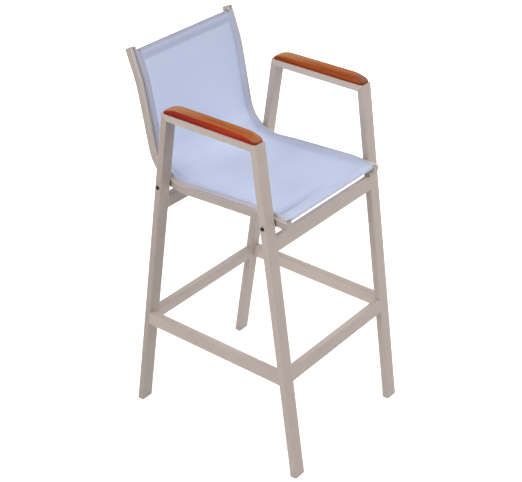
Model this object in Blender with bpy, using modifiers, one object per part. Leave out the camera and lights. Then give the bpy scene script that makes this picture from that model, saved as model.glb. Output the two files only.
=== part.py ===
"""Bar stool with arms: tube frame, fabric sling stretched between two bent rails, wooden armrests.

Metres, +Z up, front towards -Y, the sitter's right towards -X.
The origin is on the floor, under the middle of the stool's box.
"""
from math import cos, pi, radians, sin, sqrt, tan

import bmesh
import bpy
from mathutils import Matrix, Vector

# Clearance between pieces that touch, radial clearance of holes, and welding distance of curve caps
GAP = 0.0003
HOLE_CLEARANCE = 0.0003
WELD = 0.00001

# Frame tube, and the frame's overall sizes
TUBE_WIDE = 0.040
TUBE_NARROW = 0.020
TUBE_WALL = 0.0015
TUBE_CORNER = 0.003
FRAME_WIDTH = 0.500
FOOT_SPACING = 0.5734
ARM_SPACING = 0.2894
ARM_TOP = 0.978
STRETCHER_HEIGHT = 0.311
CROSSBAR_DROP = 0.0441

# Foot glides
GLIDE_FLANGE = 0.003
GLIDE_PLUG = 0.015

# Sling rail: section, keder groove and chamber
RAIL_WIDTH = 0.022
RAIL_DEPTH = 0.022
RAIL_CORNER = 0.003
RAIL_WALL = 0.0016
KEDER_CLEARANCE = 0.0005
GROOVE_MOUTH = 0.0038
GROOVE_LIP = 0.0012

# Sling rail: height of the elbow between seat and back, reach past the legs, runs, angles and bend radii
ELBOW_Z = 0.7401
FRONT_OVERHANG = 0.0379
REAR_OVERHANG = 0.03485
BACK_RUN = 0.2770
BACK_TOP_RUN = 0.0950
SEAT_RISE = radians(2.8)
BACK_LEAN = radians(11.3)
BACK_TOP_LEAN = radians(20.3)
FRONT_DROP = radians(11.1)
FRONT_BEND_RADIUS = 0.389
SEAT_BEND_RADIUS = 0.110
BACK_BEND_RADIUS = 0.300
PLUG_FLANGE = 0.002
PLUG_STUB = 0.012

# Bolts that hang the rails on the legs
SPACER_THICKNESS = 0.002
SPACER_DIAMETER = 0.014
BOLT_DIAMETER = 0.006
BOLT_HEAD_DIAMETER = 0.0115
BOLT_HEAD_HEIGHT = 0.0033
BOLT_SOCKET = 0.004
BOLT_SOCKET_DEPTH = 0.002
NUT_LENGTH = 0.012
NUT_THICKNESS = 0.005

# Fabric sling
CLOTH = 0.0014
KEDER_ROD = 0.0054
HEM_ROD = 0.003
TOP_HEM_DROP = 0.010
SEAT_SAG = 0.010
VALLEY_SAG = 0.007
VALLEY_LENGTH = 0.030
BACK_SAG = 0.005
ELBOW_BRIDGE = 0.010
HEM_WRAP = radians(225)

# Armrests
ARMREST_HEIGHT = 0.020
ARMREST_SIDE_INSET = 0.001
ARMREST_END_INSET = 0.003
ARMREST_END_SLOPE = 0.045
ARMREST_TIP = 0.003
ARMREST_CORNER = 0.010
ARMREST_END_POWER = 1.55
ARMREST_SHOULDER = 0.42
SCREW_SPACING = 0.180
SCREW_DIAMETER = 0.004
SCREW_HEAD_DIAMETER = 0.008
SCREW_HEAD_HEIGHT = 0.0024
SCREW_BITE = 0.012

# Sizes that follow from those above
TILT = (FOOT_SPACING - ARM_SPACING) / 2 / ARM_TOP
LEG_ANGLE = Vector((1.0, TILT)).angle(Vector((1.0, 0.0)))
LEG_X = (FRAME_WIDTH - TUBE_WIDE) / 2
CLEAR_WIDTH = FRAME_WIDTH - 2 * TUBE_WIDE
RAIL_X = CLEAR_WIDTH / 2 - SPACER_THICKNESS - RAIL_WIDTH / 2
RAIL_INNER = RAIL_X - RAIL_WIDTH / 2
CROSSBAR_HEIGHT = ELBOW_Z - CROSSBAR_DROP
GROOVE_BORE = KEDER_ROD + 2 * KEDER_CLEARANCE
GROOVE_CENTRE = RAIL_DEPTH / 2 - GROOVE_LIP - GROOVE_BORE / 2
CHAMBER_WIDTH = RAIL_WIDTH - 2 * RAIL_WALL
CHAMBER_LOW = RAIL_WALL - RAIL_DEPTH / 2
CHAMBER_HIGH = GROOVE_CENTRE - GROOVE_BORE / 2 - RAIL_WALL
CHAMBER_CENTRE = (CHAMBER_LOW + CHAMBER_HIGH) / 2
CHAMBER_HEIGHT = CHAMBER_HIGH - CHAMBER_LOW
CHAMBER_CORNER = RAIL_CORNER / 4
HEM_STATION = HEM_ROD / 2 + GAP + CLOTH

# The rail's elbow and seat, which reach past the legs on both sides
LEG_REACH = FOOT_SPACING / 2 - ELBOW_Z * TILT
ELBOW_Y = LEG_REACH + REAR_OVERHANG
FRONT_BEND_REACH = FRONT_BEND_RADIUS * (sin(FRONT_DROP - SEAT_RISE) + sin(SEAT_RISE))
SEAT_RUN = (LEG_REACH + FRONT_OVERHANG + ELBOW_Y - FRONT_BEND_REACH) / cos(SEAT_RISE)

# The rail's centre line as stretches of (length, curvature), from the front end of the seat to the top
SEAT_TURN = pi / 2 - BACK_LEAN + SEAT_RISE
BACK_TURN = BACK_TOP_LEAN - BACK_LEAN
SEAT_TANGENT = SEAT_BEND_RADIUS * tan(SEAT_TURN / 2)
BACK_TANGENT = BACK_BEND_RADIUS * tan(BACK_TURN / 2)
STRETCHES = (
    (FRONT_BEND_RADIUS * FRONT_DROP, -1 / FRONT_BEND_RADIUS),
    (SEAT_RUN - SEAT_TANGENT, 0.0),
    (SEAT_BEND_RADIUS * SEAT_TURN, 1 / SEAT_BEND_RADIUS),
    (BACK_RUN - SEAT_TANGENT - BACK_TANGENT, 0.0),
    (BACK_BEND_RADIUS * BACK_TURN, -1 / BACK_BEND_RADIUS),
    (BACK_TOP_RUN - BACK_TANGENT, 0.0),
)
SEAT_START, SEAT_END, ELBOW_END, BACK_BEND, BACK_BEND_END, ROUTE_END = (
    sum(length for length, _ in STRETCHES[:count]) for count in range(1, 7)
)

# Fineness of bends and round shapes
ELBOW_STEPS = 12
BACK_BEND_STEPS = 3
HEM_STEPS = 9
CORNER_STEPS = 3
BORE_STEPS = 8
TURN_STEPS = 16
ARMREST_STEPS = 12


def linear(value):
    """Linear light of an 8-bit screen value."""
    value /= 255
    return value / 12.92 if value <= 0.04045 else ((value + 0.055) / 1.055) ** 2.4


def principled(name, screen_rgb, roughness, metallic=0.0):
    material = bpy.data.materials.new(name)
    material.use_nodes = True
    shader = material.node_tree.nodes["Principled BSDF"]
    shader.inputs["Base Color"].default_value = (*(linear(value) for value in screen_rgb), 1.0)
    shader.inputs["Roughness"].default_value = roughness
    shader.inputs["Metallic"].default_value = metallic
    return material


def clear_scene():
    for old in list(bpy.data.objects):
        bpy.data.objects.remove(old)


def new_collection(name):
    collection = bpy.data.collections.new(name)
    bpy.context.scene.collection.children.link(collection)
    return collection


def route(distance):
    """Place (y, z) and heading of the rail's centre line at a distance from its front end."""
    heading = FRONT_DROP - SEAT_RISE
    y = -LEG_REACH - FRONT_OVERHANG
    z = ELBOW_Z + SEAT_RUN * sin(SEAT_RISE) - FRONT_BEND_RADIUS * (cos(SEAT_RISE) - cos(heading))
    for length, curvature in STRETCHES:
        step = min(distance, length)
        if curvature:
            turned = heading + curvature * step
            y += (sin(turned) - sin(heading)) / curvature
            z -= (cos(turned) - cos(heading)) / curvature
            heading = turned
        else:
            y += step * cos(heading)
            z += step * sin(heading)
        distance -= step
    return y, z, heading


def beside_route(distance, offset):
    """Place (y, z) that lies off the rail's centre line, towards the sitter."""
    y, z, heading = route(distance)
    return y - offset * sin(heading), z + offset * cos(heading)


def rail_frame(distance):
    """Matrix at a place on the rail: X across, Y towards the sitter, Z back along the rail."""
    y, z, heading = route(distance)
    return Matrix.Translation((0, y, z)) @ Matrix.Rotation(pi / 2 + heading, 4, "X")


def spaced(start, stop, steps):
    """Evenly spaced values from start up to, but without, stop."""
    return [start + (stop - start) * i / steps for i in range(steps)]


def front_stations():
    """Distances of sections in the front bend, behind the hem rod."""
    valley = HEM_STATION + VALLEY_LENGTH
    return spaced(HEM_STATION, valley, 3) + spaced(valley, SEAT_START, 2)


def route_stations():
    """Distances at which what follows the route has a section."""
    stations = [0.0, *front_stations(), SEAT_START]
    stations += spaced(SEAT_END, ELBOW_END, ELBOW_STEPS) + [ELBOW_END]
    stations += spaced(BACK_BEND, BACK_BEND_END, BACK_BEND_STEPS) + [BACK_BEND_END]
    return stations + [ROUTE_END]


def rail_stations():
    """Distances at which the rail's section is repeated, so that no bolt hole lies across one."""
    stations = route_stations()
    land = BOLT_DIAMETER / 2 + HOLE_CLEARANCE + RAIL_WALL
    for end in ENDS.values():
        hole = bolt_station(end)
        clear = [station for station in stations if abs(station - hole) > land]
        if len(clear) < len(stations):
            stations = sorted(clear + [hole - land, hole + land])
    return stations


def leg_line(z):
    """Distance of a leg's centre line from the middle of the frame, at a height."""
    return FOOT_SPACING / 2 - z * TILT


def arc(centre, radius, start, sweep, steps):
    angles = (start + sweep * i / steps for i in range(steps + 1))
    return [(centre[0] + radius * cos(a), centre[1] + radius * sin(a)) for a in angles]


def round_box(width, height, radius, centre_y=0.0):
    """Outline of a rectangle with round corners, counter-clockwise from the right side."""
    x, y = width / 2 - radius, height / 2 - radius
    corners = ((x, y, 0), (-x, y, pi / 2), (-x, -y, pi), (x, -y, 3 * pi / 2))
    points = []
    for corner_x, corner_y, start in corners:
        points += arc((corner_x, corner_y + centre_y), radius, start, pi / 2, CORNER_STEPS)
    return points


def rail_outline():
    """Outline of the rail's section, with the keyhole of the keder groove in its upper side."""
    box = round_box(RAIL_WIDTH, RAIL_DEPTH, RAIL_CORNER)
    split = CORNER_STEPS + 1
    half_mouth = GROOVE_MOUTH / 2
    neck = Vector((half_mouth, sqrt((GROOVE_BORE / 2) ** 2 - half_mouth**2)))
    start = pi / 2 - neck.angle(Vector((0, 1)))
    sweep = -(2 * pi - 2 * (pi / 2 - start))
    keyhole = [(half_mouth, RAIL_DEPTH / 2)]
    keyhole += arc((0, GROOVE_CENTRE), GROOVE_BORE / 2, start, sweep, BORE_STEPS)
    keyhole += [(-half_mouth, RAIL_DEPTH / 2)]
    return box[:split] + keyhole + box[split:]


def chamber_outline(clearance=0.0):
    return round_box(
        CHAMBER_WIDTH - 2 * clearance, CHAMBER_HEIGHT - 2 * clearance, CHAMBER_CORNER, CHAMBER_CENTRE
    )


def mesh_of(source):
    """Evaluated mesh of an object, with loose caps welded; the object itself is removed."""
    bpy.context.view_layer.update()
    evaluated = source.evaluated_get(bpy.context.evaluated_depsgraph_get())
    mesh = bpy.data.meshes.new_from_object(evaluated)
    shape = bmesh.new()
    shape.from_mesh(mesh)
    bmesh.ops.remove_doubles(shape, verts=shape.verts, dist=WELD)
    shape.to_mesh(mesh)
    shape.free()
    bpy.data.objects.remove(source)
    return mesh


def outline_shape(loops):
    """Flat section with holes, as a mesh being edited."""
    shape = bmesh.new()
    edges = []
    for loop in loops:
        corners = [shape.verts.new((x, y, 0)) for x, y in loop]
        edges += [shape.edges.new(pair) for pair in zip(corners, corners[1:] + corners[:1])]
    if len(loops) == 1:
        bmesh.ops.edgeloop_fill(shape, edges=edges)
    elif len(loops[0]) == len(loops[1]):
        bmesh.ops.bridge_loops(shape, edges=edges)
    else:
        bmesh.ops.triangle_fill(shape, use_beauty=True, edges=edges)
    return shape


def extrude_section(shape, frames):
    """Extrude a flat section from frame to frame; it lies in the first one."""
    section = shape.faces[:]
    bmesh.ops.transform(shape, matrix=frames[0], verts=shape.verts)
    for here, there in zip(frames, frames[1:]):
        moved = bmesh.ops.extrude_face_region(shape, geom=section)["geom"]
        corners = [item for item in moved if isinstance(item, bmesh.types.BMVert)]
        bmesh.ops.transform(shape, matrix=there @ here.inverted(), verts=corners)
        if here is not frames[0]:
            bmesh.ops.delete(shape, geom=section, context="FACES")
        section = [item for item in moved if isinstance(item, bmesh.types.BMFace)]
    bmesh.ops.recalc_face_normals(shape, faces=shape.faces)


def finished_mesh(name, shape):
    mesh = bpy.data.meshes.new(name)
    shape.to_mesh(mesh)
    shape.free()
    return mesh


def outline_mesh(loops, length):
    """Prism of an outline with holes, standing on Z = 0."""
    shape = outline_shape(loops)
    extrude_section(shape, [Matrix.Identity(4), Matrix.Translation((0, 0, length))])
    return finished_mesh("prism", shape)


def slope_ends(mesh, low, low_slope, high, high_slope):
    """Cut both ends of a prism: each end is a plane that rises along the section's Y."""
    middle = sum(vertex.co.z for vertex in mesh.vertices) / len(mesh.vertices)
    for vertex in mesh.vertices:
        if vertex.co.z > middle:
            vertex.co.z = high + high_slope * vertex.co.y
        else:
            vertex.co.z = low + low_slope * vertex.co.y
    mesh.update()


def tube_mesh(size_x, size_y, length):
    """Hollow tube with round corners, along Z from 0."""
    inner = TUBE_CORNER - TUBE_WALL
    outline = round_box(size_x, size_y, TUBE_CORNER)
    hollow = round_box(size_x - 2 * TUBE_WALL, size_y - 2 * TUBE_WALL, inner)
    return outline_mesh([outline, hollow], length)


def turned_mesh(profile, steps=TURN_STEPS):
    """Turned shape about Z: the profile's (radius, z) points run down its outer side."""
    mesh = bpy.data.meshes.new("profile")
    closed = profile[0][0] > 0
    edges = [(i, i + 1) for i in range(len(profile) - 1)]
    if closed:
        edges.append((len(profile) - 1, 0))
    mesh.from_pydata([(radius, 0, z) for radius, z in profile], edges, [])
    source = bpy.data.objects.new("profile", mesh)
    bpy.context.scene.collection.objects.link(source)
    screw = source.modifiers.new("turn", "SCREW")
    screw.steps = steps
    screw.render_steps = steps
    screw.use_merge_vertices = True
    screw.merge_threshold = WELD
    screw.use_smooth_shade = True
    turned = mesh_of(source)
    shade_round(turned)
    return turned


def shade_round(mesh):
    mesh.shade_smooth()
    mesh.set_sharp_from_angle(angle=radians(35))


def cylinder_mesh(radius, low, high, segments=TURN_STEPS):
    """Cylinder along Z between two heights."""
    shape = bmesh.new()
    bmesh.ops.create_cone(
        shape,
        cap_ends=True,
        segments=segments,
        radius1=radius,
        radius2=radius,
        depth=high - low,
        matrix=Matrix.Translation((0, 0, (low + high) / 2)),
    )
    return finished_mesh("cylinder", shape)


class Stool:
    """Collections, materials and the empty that carries all pieces."""

    def __init__(self):
        self.parts = new_collection("bar_stool")
        self.cutters = new_collection("bar_stool_cutters")
        self.coat = principled("taupe_powder_coat", (178, 165, 155), 0.45)
        self.fabric = principled("pale_sling_fabric", (196, 206, 228), 0.8)
        self.wood = principled("oiled_teak", (178, 96, 48), 0.5)
        self.black = principled("black_oxide_steel", (22, 22, 24), 0.4, 0.6)
        self.steel = principled("zinc_steel", (175, 176, 178), 0.35, 1.0)
        self.plastic = principled("taupe_plastic", (160, 148, 139), 0.55)
        self.vinyl = principled("white_keder_cord", (215, 217, 222), 0.5)
        self.root = bpy.data.objects.new("bar_stool_origin", None)
        self.root.location.y = self.middle_offset()
        self.parts.objects.link(self.root)

    @staticmethod
    def middle_offset():
        """Shift that puts the middle of the stool's box over the origin."""
        y, _, heading = route(ROUTE_END)
        front_reach = FOOT_SPACING / 2 + TUBE_NARROW / 2 / cos(LEG_ANGLE)
        rear_reach = y + (GAP + PLUG_FLANGE) * cos(heading) + RAIL_DEPTH / 2 * sin(heading)
        return (front_reach - max(front_reach, rear_reach)) / 2

    def add(self, name, mesh, material, location=(0, 0, 0), rotation=(0, 0, 0)):
        piece = bpy.data.objects.new(name, mesh)
        mesh.materials.clear()
        mesh.materials.append(material)
        piece.location = location
        piece.rotation_euler = rotation
        piece.parent = self.root
        self.parts.objects.link(piece)
        return piece

    def cutter(self, name, mesh, location=(0, 0, 0), rotation=(0, 0, 0)):
        tool = bpy.data.objects.new(name, mesh)
        tool.location = location
        tool.rotation_euler = rotation
        tool.parent = self.root
        tool.hide_render = True
        tool.display_type = "WIRE"
        self.cutters.objects.link(tool)
        return tool


def shape_with(piece, tool, operation):
    """Boolean of a piece with a tool object."""
    modifier = piece.modifiers.new(operation.lower(), "BOOLEAN")
    modifier.operation = operation
    modifier.object = tool


SIDES = {"right": -1, "left": 1}
ENDS = {"front": -1, "rear": 1}


def leg_rotation(end):
    """Legs lean inwards; a rear leg is a front leg turned about Z."""
    return (-LEG_ANGLE, 0, 0 if end < 0 else pi)


def build_legs(stool):
    """Four legs, level at the glides and mitred at the arm rails."""
    legs = {}
    mitre = (ARM_TOP - TUBE_NARROW / 2) / cos(LEG_ANGLE)
    mitre_slope = (sin(LEG_ANGLE) - 1) / cos(LEG_ANGLE)
    for side_name, side in SIDES.items():
        for end_name, end in ENDS.items():
            mesh = tube_mesh(TUBE_WIDE, TUBE_NARROW, mitre)
            low = (GLIDE_FLANGE + GAP) / cos(LEG_ANGLE)
            slope_ends(mesh, low, TILT, mitre, mitre_slope)
            place = (side * LEG_X, end * FOOT_SPACING / 2, 0)
            name = f"{end_name}_{side_name}_leg"
            legs[end_name, side_name] = stool.add(name, mesh, stool.coat, place, leg_rotation(end))
    return legs


def build_glides(stool):
    """Plastic glides: a flange under each leg and a plug inside it."""
    for side_name, side in SIDES.items():
        for end_name, end in ENDS.items():
            flange = outline_mesh([round_box(TUBE_WIDE, TUBE_NARROW, TUBE_CORNER)], GLIDE_FLANGE)
            slope_ends(flange, 0, TILT, GLIDE_FLANGE / cos(LEG_ANGLE), TILT)
            inset = 2 * (TUBE_WALL + GAP)
            plug = outline_mesh(
                [round_box(TUBE_WIDE - inset, TUBE_NARROW - inset, TUBE_CORNER - TUBE_WALL)], GLIDE_PLUG
            )
            slope_ends(plug, GLIDE_FLANGE / 2, TILT, GLIDE_PLUG, 0)
            place = (side * LEG_X, end * FOOT_SPACING / 2, 0)
            name = f"{end_name}_{side_name}_glide"
            glide = stool.add(name, flange, stool.plastic, place, leg_rotation(end))
            tool = stool.cutter(f"{name}_plug", plug, place, leg_rotation(end))
            shape_with(glide, tool, "UNION")


def build_arm_rails(stool):
    """Level tubes between the tops of the legs, with mitred ends."""
    half = leg_line(ARM_TOP - TUBE_NARROW / 2) - GAP / sin((pi / 2 + LEG_ANGLE) / 2)
    slope = (1 - sin(LEG_ANGLE)) / cos(LEG_ANGLE)
    rails = {}
    for side_name, side in SIDES.items():
        mesh = tube_mesh(TUBE_WIDE, TUBE_NARROW, 2 * half)
        slope_ends(mesh, -half, slope, half, -slope)
        place = (side * LEG_X, 0, ARM_TOP - TUBE_NARROW / 2)
        rails[side_name] = stool.add(f"{side_name}_arm_rail", mesh, stool.coat, place, (-pi / 2, 0, 0))
    return rails


def build_bars(stool):
    """Crossbars under the seat and the four lower stretchers, butted between the legs."""
    for bar_name, height in (("seat_crossbar", CROSSBAR_HEIGHT), ("stretcher", STRETCHER_HEIGHT)):
        for end_name, end in ENDS.items():
            length = CLEAR_WIDTH - 2 * GAP
            mesh = tube_mesh(TUBE_WIDE, TUBE_NARROW, length)
            mesh.transform(Matrix.Rotation(pi / 2, 4, "Y") @ Matrix.Translation((0, 0, -length / 2)))
            place = (0, end * leg_line(height), height)
            stool.add(f"{end_name}_{bar_name}", mesh, stool.coat, place, (end * LEG_ANGLE, 0, 0))
    half = leg_line(STRETCHER_HEIGHT) - (TUBE_NARROW / 2 + GAP) / cos(LEG_ANGLE)
    for side_name, side in SIDES.items():
        mesh = tube_mesh(TUBE_NARROW, TUBE_WIDE, 2 * half)
        slope_ends(mesh, -half, -TILT, half, TILT)
        place = (side * (FRAME_WIDTH - TUBE_NARROW) / 2, 0, STRETCHER_HEIGHT)
        stool.add(f"{side_name}_stretcher", mesh, stool.coat, place, (-pi / 2, 0, 0))


def swept_rail():
    """The rail's section, extruded from station to station along its route."""
    shape = outline_shape([rail_outline(), chamber_outline()])
    extrude_section(shape, [rail_frame(station) for station in rail_stations()])
    mesh = finished_mesh("sling_rail", shape)
    shade_round(mesh)
    return mesh


def build_sling_rails(stool):
    rails = {}
    for side_name, side in SIDES.items():
        rails[side_name] = stool.add(
            f"{side_name}_sling_rail", swept_rail(), stool.coat, (side * RAIL_X, 0, 0)
        )
    return rails


def build_rail_plugs(stool):
    """End plugs of the sling rails: a flange over the section and a stub in the chamber."""
    for side_name, side in SIDES.items():
        for plug_name, distance, outwards in (("front", 0.0, 1), ("top", ROUTE_END, -1)):
            flange = outline_mesh([round_box(RAIL_WIDTH, RAIL_DEPTH, RAIL_CORNER)], PLUG_FLANGE)
            flange.transform(Matrix.Translation((0, 0, GAP)))
            stub = outline_mesh([chamber_outline(2 * GAP)], PLUG_STUB)
            stub.transform(Matrix.Translation((0, 0, GAP + PLUG_FLANGE / 2 - PLUG_STUB)))
            turn = Matrix.Rotation(0 if outwards > 0 else pi, 4, "Y")
            frame = Matrix.Translation((side * RAIL_X, 0, 0)) @ rail_frame(distance) @ turn
            name = f"{side_name}_rail_{plug_name}_plug"
            plug = stool.add(name, flange, stool.plastic, frame.translation, frame.to_euler())
            tool = stool.cutter(f"{name}_stub", stub, frame.translation, frame.to_euler())
            shape_with(plug, tool, "UNION")


def bolt_station(end):
    """Distance along the rail where its chamber crosses a leg's centre line, by halving."""
    low, high = (0.0, SEAT_END) if end < 0 else (SEAT_END / 2, ELBOW_END)
    for _ in range(50):
        middle = (low + high) / 2
        y, z = beside_route(middle, CHAMBER_CENTRE)
        if y < end * leg_line(z):
            low = middle
        else:
            high = middle
    return (low + high) / 2


def bolt_profile(length):
    """Button head above Z = 0 and shank below it."""
    head, radius = BOLT_HEAD_DIAMETER / 2, BOLT_DIAMETER / 2
    dome = [(head * cos(a), BOLT_HEAD_HEIGHT * (0.3 + 0.7 * sin(a))) for a in (1.2, 0.9, 0.6, 0.3, 0.0)]
    return [(0, BOLT_HEAD_HEIGHT), *dome, (head, 0), (radius, 0), (radius, -length), (0, -length)]


def ring_profile(outer, inner, thickness):
    half = thickness / 2
    return [(outer, half), (outer, -half), (inner, -half), (inner, half)]


def nut_mesh(bore_radius):
    """Plate that slides in the rail's chamber: long along Y, bored along X."""
    plate = round_box(CHAMBER_HEIGHT - 2 * CHAMBER_CORNER, NUT_LENGTH, CHAMBER_CORNER)
    bore = arc((0, 0), bore_radius, 0, 2 * pi * (1 - 1 / TURN_STEPS), TURN_STEPS - 1)
    mesh = outline_mesh([plate, bore], NUT_THICKNESS)
    mesh.transform(Matrix.Rotation(pi / 2, 4, "Y") @ Matrix.Translation((0, 0, -NUT_THICKNESS / 2)))
    return mesh


def build_rail_bolts(stool, legs, rails):
    """Bolt, spacer and nut plate at each crossing of a leg and a sling rail, with their holes."""
    reach = TUBE_WIDE + SPACER_THICKNESS + RAIL_WALL + GAP + NUT_THICKNESS
    hole_radius = BOLT_DIAMETER / 2 + HOLE_CLEARANCE
    for side_name, side in SIDES.items():
        turn = (0, side * pi / 2, 0)
        for end_name, end in ENDS.items():
            station = bolt_station(end)
            y, z = beside_route(station, CHAMBER_CENTRE)
            tag = f"{end_name}_{side_name}"

            outer = (side * FRAME_WIDTH / 2, y, z)
            hole = cylinder_mesh(hole_radius, -reach, 2 * GAP)
            drill = stool.cutter(f"{tag}_bolt_hole", hole, outer, turn)
            shape_with(legs[end_name, side_name], drill, "DIFFERENCE")
            shape_with(rails[side_name], drill, "DIFFERENCE")

            seat = (side * (FRAME_WIDTH / 2 + GAP), y, z)
            bolt = stool.add(f"{tag}_rail_bolt", turned_mesh(bolt_profile(reach)), stool.black, seat, turn)
            floor = BOLT_HEAD_HEIGHT - BOLT_SOCKET_DEPTH
            hexagon = cylinder_mesh(BOLT_SOCKET / 2 / cos(pi / 6), floor, 2 * BOLT_HEAD_HEIGHT, 6)
            shape_with(bolt, stool.cutter(f"{tag}_bolt_socket", hexagon, seat, turn), "DIFFERENCE")

            middle = (side * (CLEAR_WIDTH - SPACER_THICKNESS) / 2, y, z)
            spacer = turned_mesh(ring_profile(SPACER_DIAMETER / 2, hole_radius, SPACER_THICKNESS - 2 * GAP))
            stool.add(f"{tag}_rail_spacer", spacer, stool.plastic, middle, turn)

            inner = (side * (RAIL_X + CHAMBER_WIDTH / 2 - GAP - NUT_THICKNESS / 2), y, z)
            turned = (route(station)[2], 0, 0)
            stool.add(f"{tag}_nut_plate", nut_mesh(hole_radius), stool.steel, inner, turned)


def ease(value):
    value = min(max(value, 0.0), 1.0)
    return value * value * (3 - 2 * value)


def sag(distance):
    """Rise of the sling's middle over its edges: it dips in seat and back and bridges the elbow."""
    knots = (
        (HEM_STATION, 0.0),
        (HEM_STATION + VALLEY_LENGTH, -VALLEY_SAG),
        (0.4 * SEAT_START + 0.6 * SEAT_END, -SEAT_SAG),
        ((SEAT_END + ELBOW_END) / 2, ELBOW_BRIDGE),
        ((ELBOW_END + BACK_BEND) / 2, -BACK_SAG),
        (ROUTE_END, -BACK_SAG / 2),
    )
    for (start, low), (stop, high) in zip(knots, knots[1:]):
        if distance <= stop:
            return low + (high - low) * ease((distance - start) / (stop - start))
    return knots[-1][1]


def sling_rows():
    """Rows of the sling from the top hem to the front: (distance, angle round the hem rod)."""
    flat = spaced(ROUTE_END - TOP_HEM_DROP, BACK_BEND_END, 2)
    flat += spaced(BACK_BEND_END, BACK_BEND, BACK_BEND_STEPS)
    flat += spaced(BACK_BEND, ELBOW_END, 3)
    flat += spaced(ELBOW_END, SEAT_END, ELBOW_STEPS)
    flat += spaced(SEAT_END, SEAT_START, 4)
    flat += [SEAT_START, *reversed(front_stations()[1:])]
    rolled = spaced(0.0, HEM_WRAP, HEM_STEPS)
    return [(distance, 0.0) for distance in flat] + [(HEM_STATION, angle) for angle in (*rolled, HEM_WRAP)]


def build_sling(stool):
    """Fabric sheet over both rails, its edges turned down into the grooves, its front rolled on a rod."""
    lay = RAIL_DEPTH / 2 + GAP + CLOTH / 2
    tuck = GROOVE_CENTRE + KEDER_ROD / 2 + GAP
    roll = HEM_ROD / 2 + GAP + CLOTH / 2
    roll_half = RAIL_INNER - CLOTH
    rows = sling_rows()
    columns = [(RAIL_X, tuck), (RAIL_X, lay), (RAIL_INNER, lay)]
    columns += [(x, lay) for x in spaced(roll_half, -roll_half, 8)]
    columns += [(-roll_half, lay), (-RAIL_INNER, lay), (-RAIL_X, lay), (-RAIL_X, tuck)]

    def place(row, column):
        (distance, angle), (x, offset) = rows[row], columns[column]
        rise = sag(distance) * max(0.0, 1 - (x / RAIL_INNER) ** 2)
        distance -= roll * sin(angle)
        return x, *beside_route(distance, offset + rise - roll * (1 - cos(angle)))

    shape = bmesh.new()
    bmesh.ops.create_grid(shape, x_segments=len(columns) - 1, y_segments=len(rows) - 1, size=1)
    notch = []
    for vertex in shape.verts:
        column = round((vertex.co.x + 1) / 2 * (len(columns) - 1))
        row = round((vertex.co.y + 1) / 2 * (len(rows) - 1))
        vertex.co = place(row, column)
        if rows[row][1] > 0 and abs(columns[column][0]) > roll_half:
            notch.append(vertex)
    bmesh.ops.delete(shape, geom=notch, context="VERTS")
    bmesh.ops.recalc_face_normals(shape, faces=shape.faces)
    mesh = finished_mesh("sling", shape)
    mesh.shade_smooth()
    sling = stool.add("sling", mesh, stool.fabric)
    thick = sling.modifiers.new("cloth", "SOLIDIFY")
    thick.thickness = CLOTH
    thick.offset = 0
    thick.use_even_offset = True


def rod_mesh(points, radius, sides):
    """Round rod along a list of points."""
    curve = bpy.data.curves.new("rod", "CURVE")
    curve.dimensions = "3D"
    curve.bevel_depth = radius
    curve.bevel_resolution = sides // 2 - 2
    curve.use_fill_caps = True
    spline = curve.splines.new("POLY")
    spline.points.add(len(points) - 1)
    for point, place in zip(spline.points, points):
        point.co = (*place, 1)
    source = bpy.data.objects.new("rod", curve)
    bpy.context.scene.collection.objects.link(source)
    mesh = mesh_of(source)
    shade_round(mesh)
    return mesh


def build_sling_rods(stool):
    """Keder rods that hold the sling's edges, and the rod in its front hem."""
    top = ROUTE_END - TOP_HEM_DROP
    stations = [HEM_STATION, *(station for station in route_stations() if HEM_STATION < station < top), top]
    for side_name, side in SIDES.items():
        points = [(0, *beside_route(station, GROOVE_CENTRE)) for station in stations]
        mesh = rod_mesh(points, KEDER_ROD / 2, 8)
        stool.add(f"{side_name}_keder_rod", mesh, stool.vinyl, (side * RAIL_X, 0, 0))
    y, z = beside_route(HEM_STATION, RAIL_DEPTH / 2 - HEM_ROD / 2)
    reach = RAIL_INNER - GAP
    mesh = cylinder_mesh(HEM_ROD / 2, -reach, reach)
    shade_round(mesh)
    stool.add("front_hem_rod", mesh, stool.steel, (0, y, z), (0, pi / 2, 0))


def armrest_section(width, height):
    """Flat underside and a crowned top with full shoulders, across an armrest."""
    points = []
    for i in range(ARMREST_STEPS + 1):
        x, z = cos(pi * i / ARMREST_STEPS), sin(pi * i / ARMREST_STEPS)
        across = abs(x) ** ARMREST_SHOULDER * (1 if x > 0 else -1)
        points.append((width / 2 * across, height * max(z, 0.0) ** ARMREST_SHOULDER))
    points[-1] = (-width / 2, 0.0)
    return points


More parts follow.
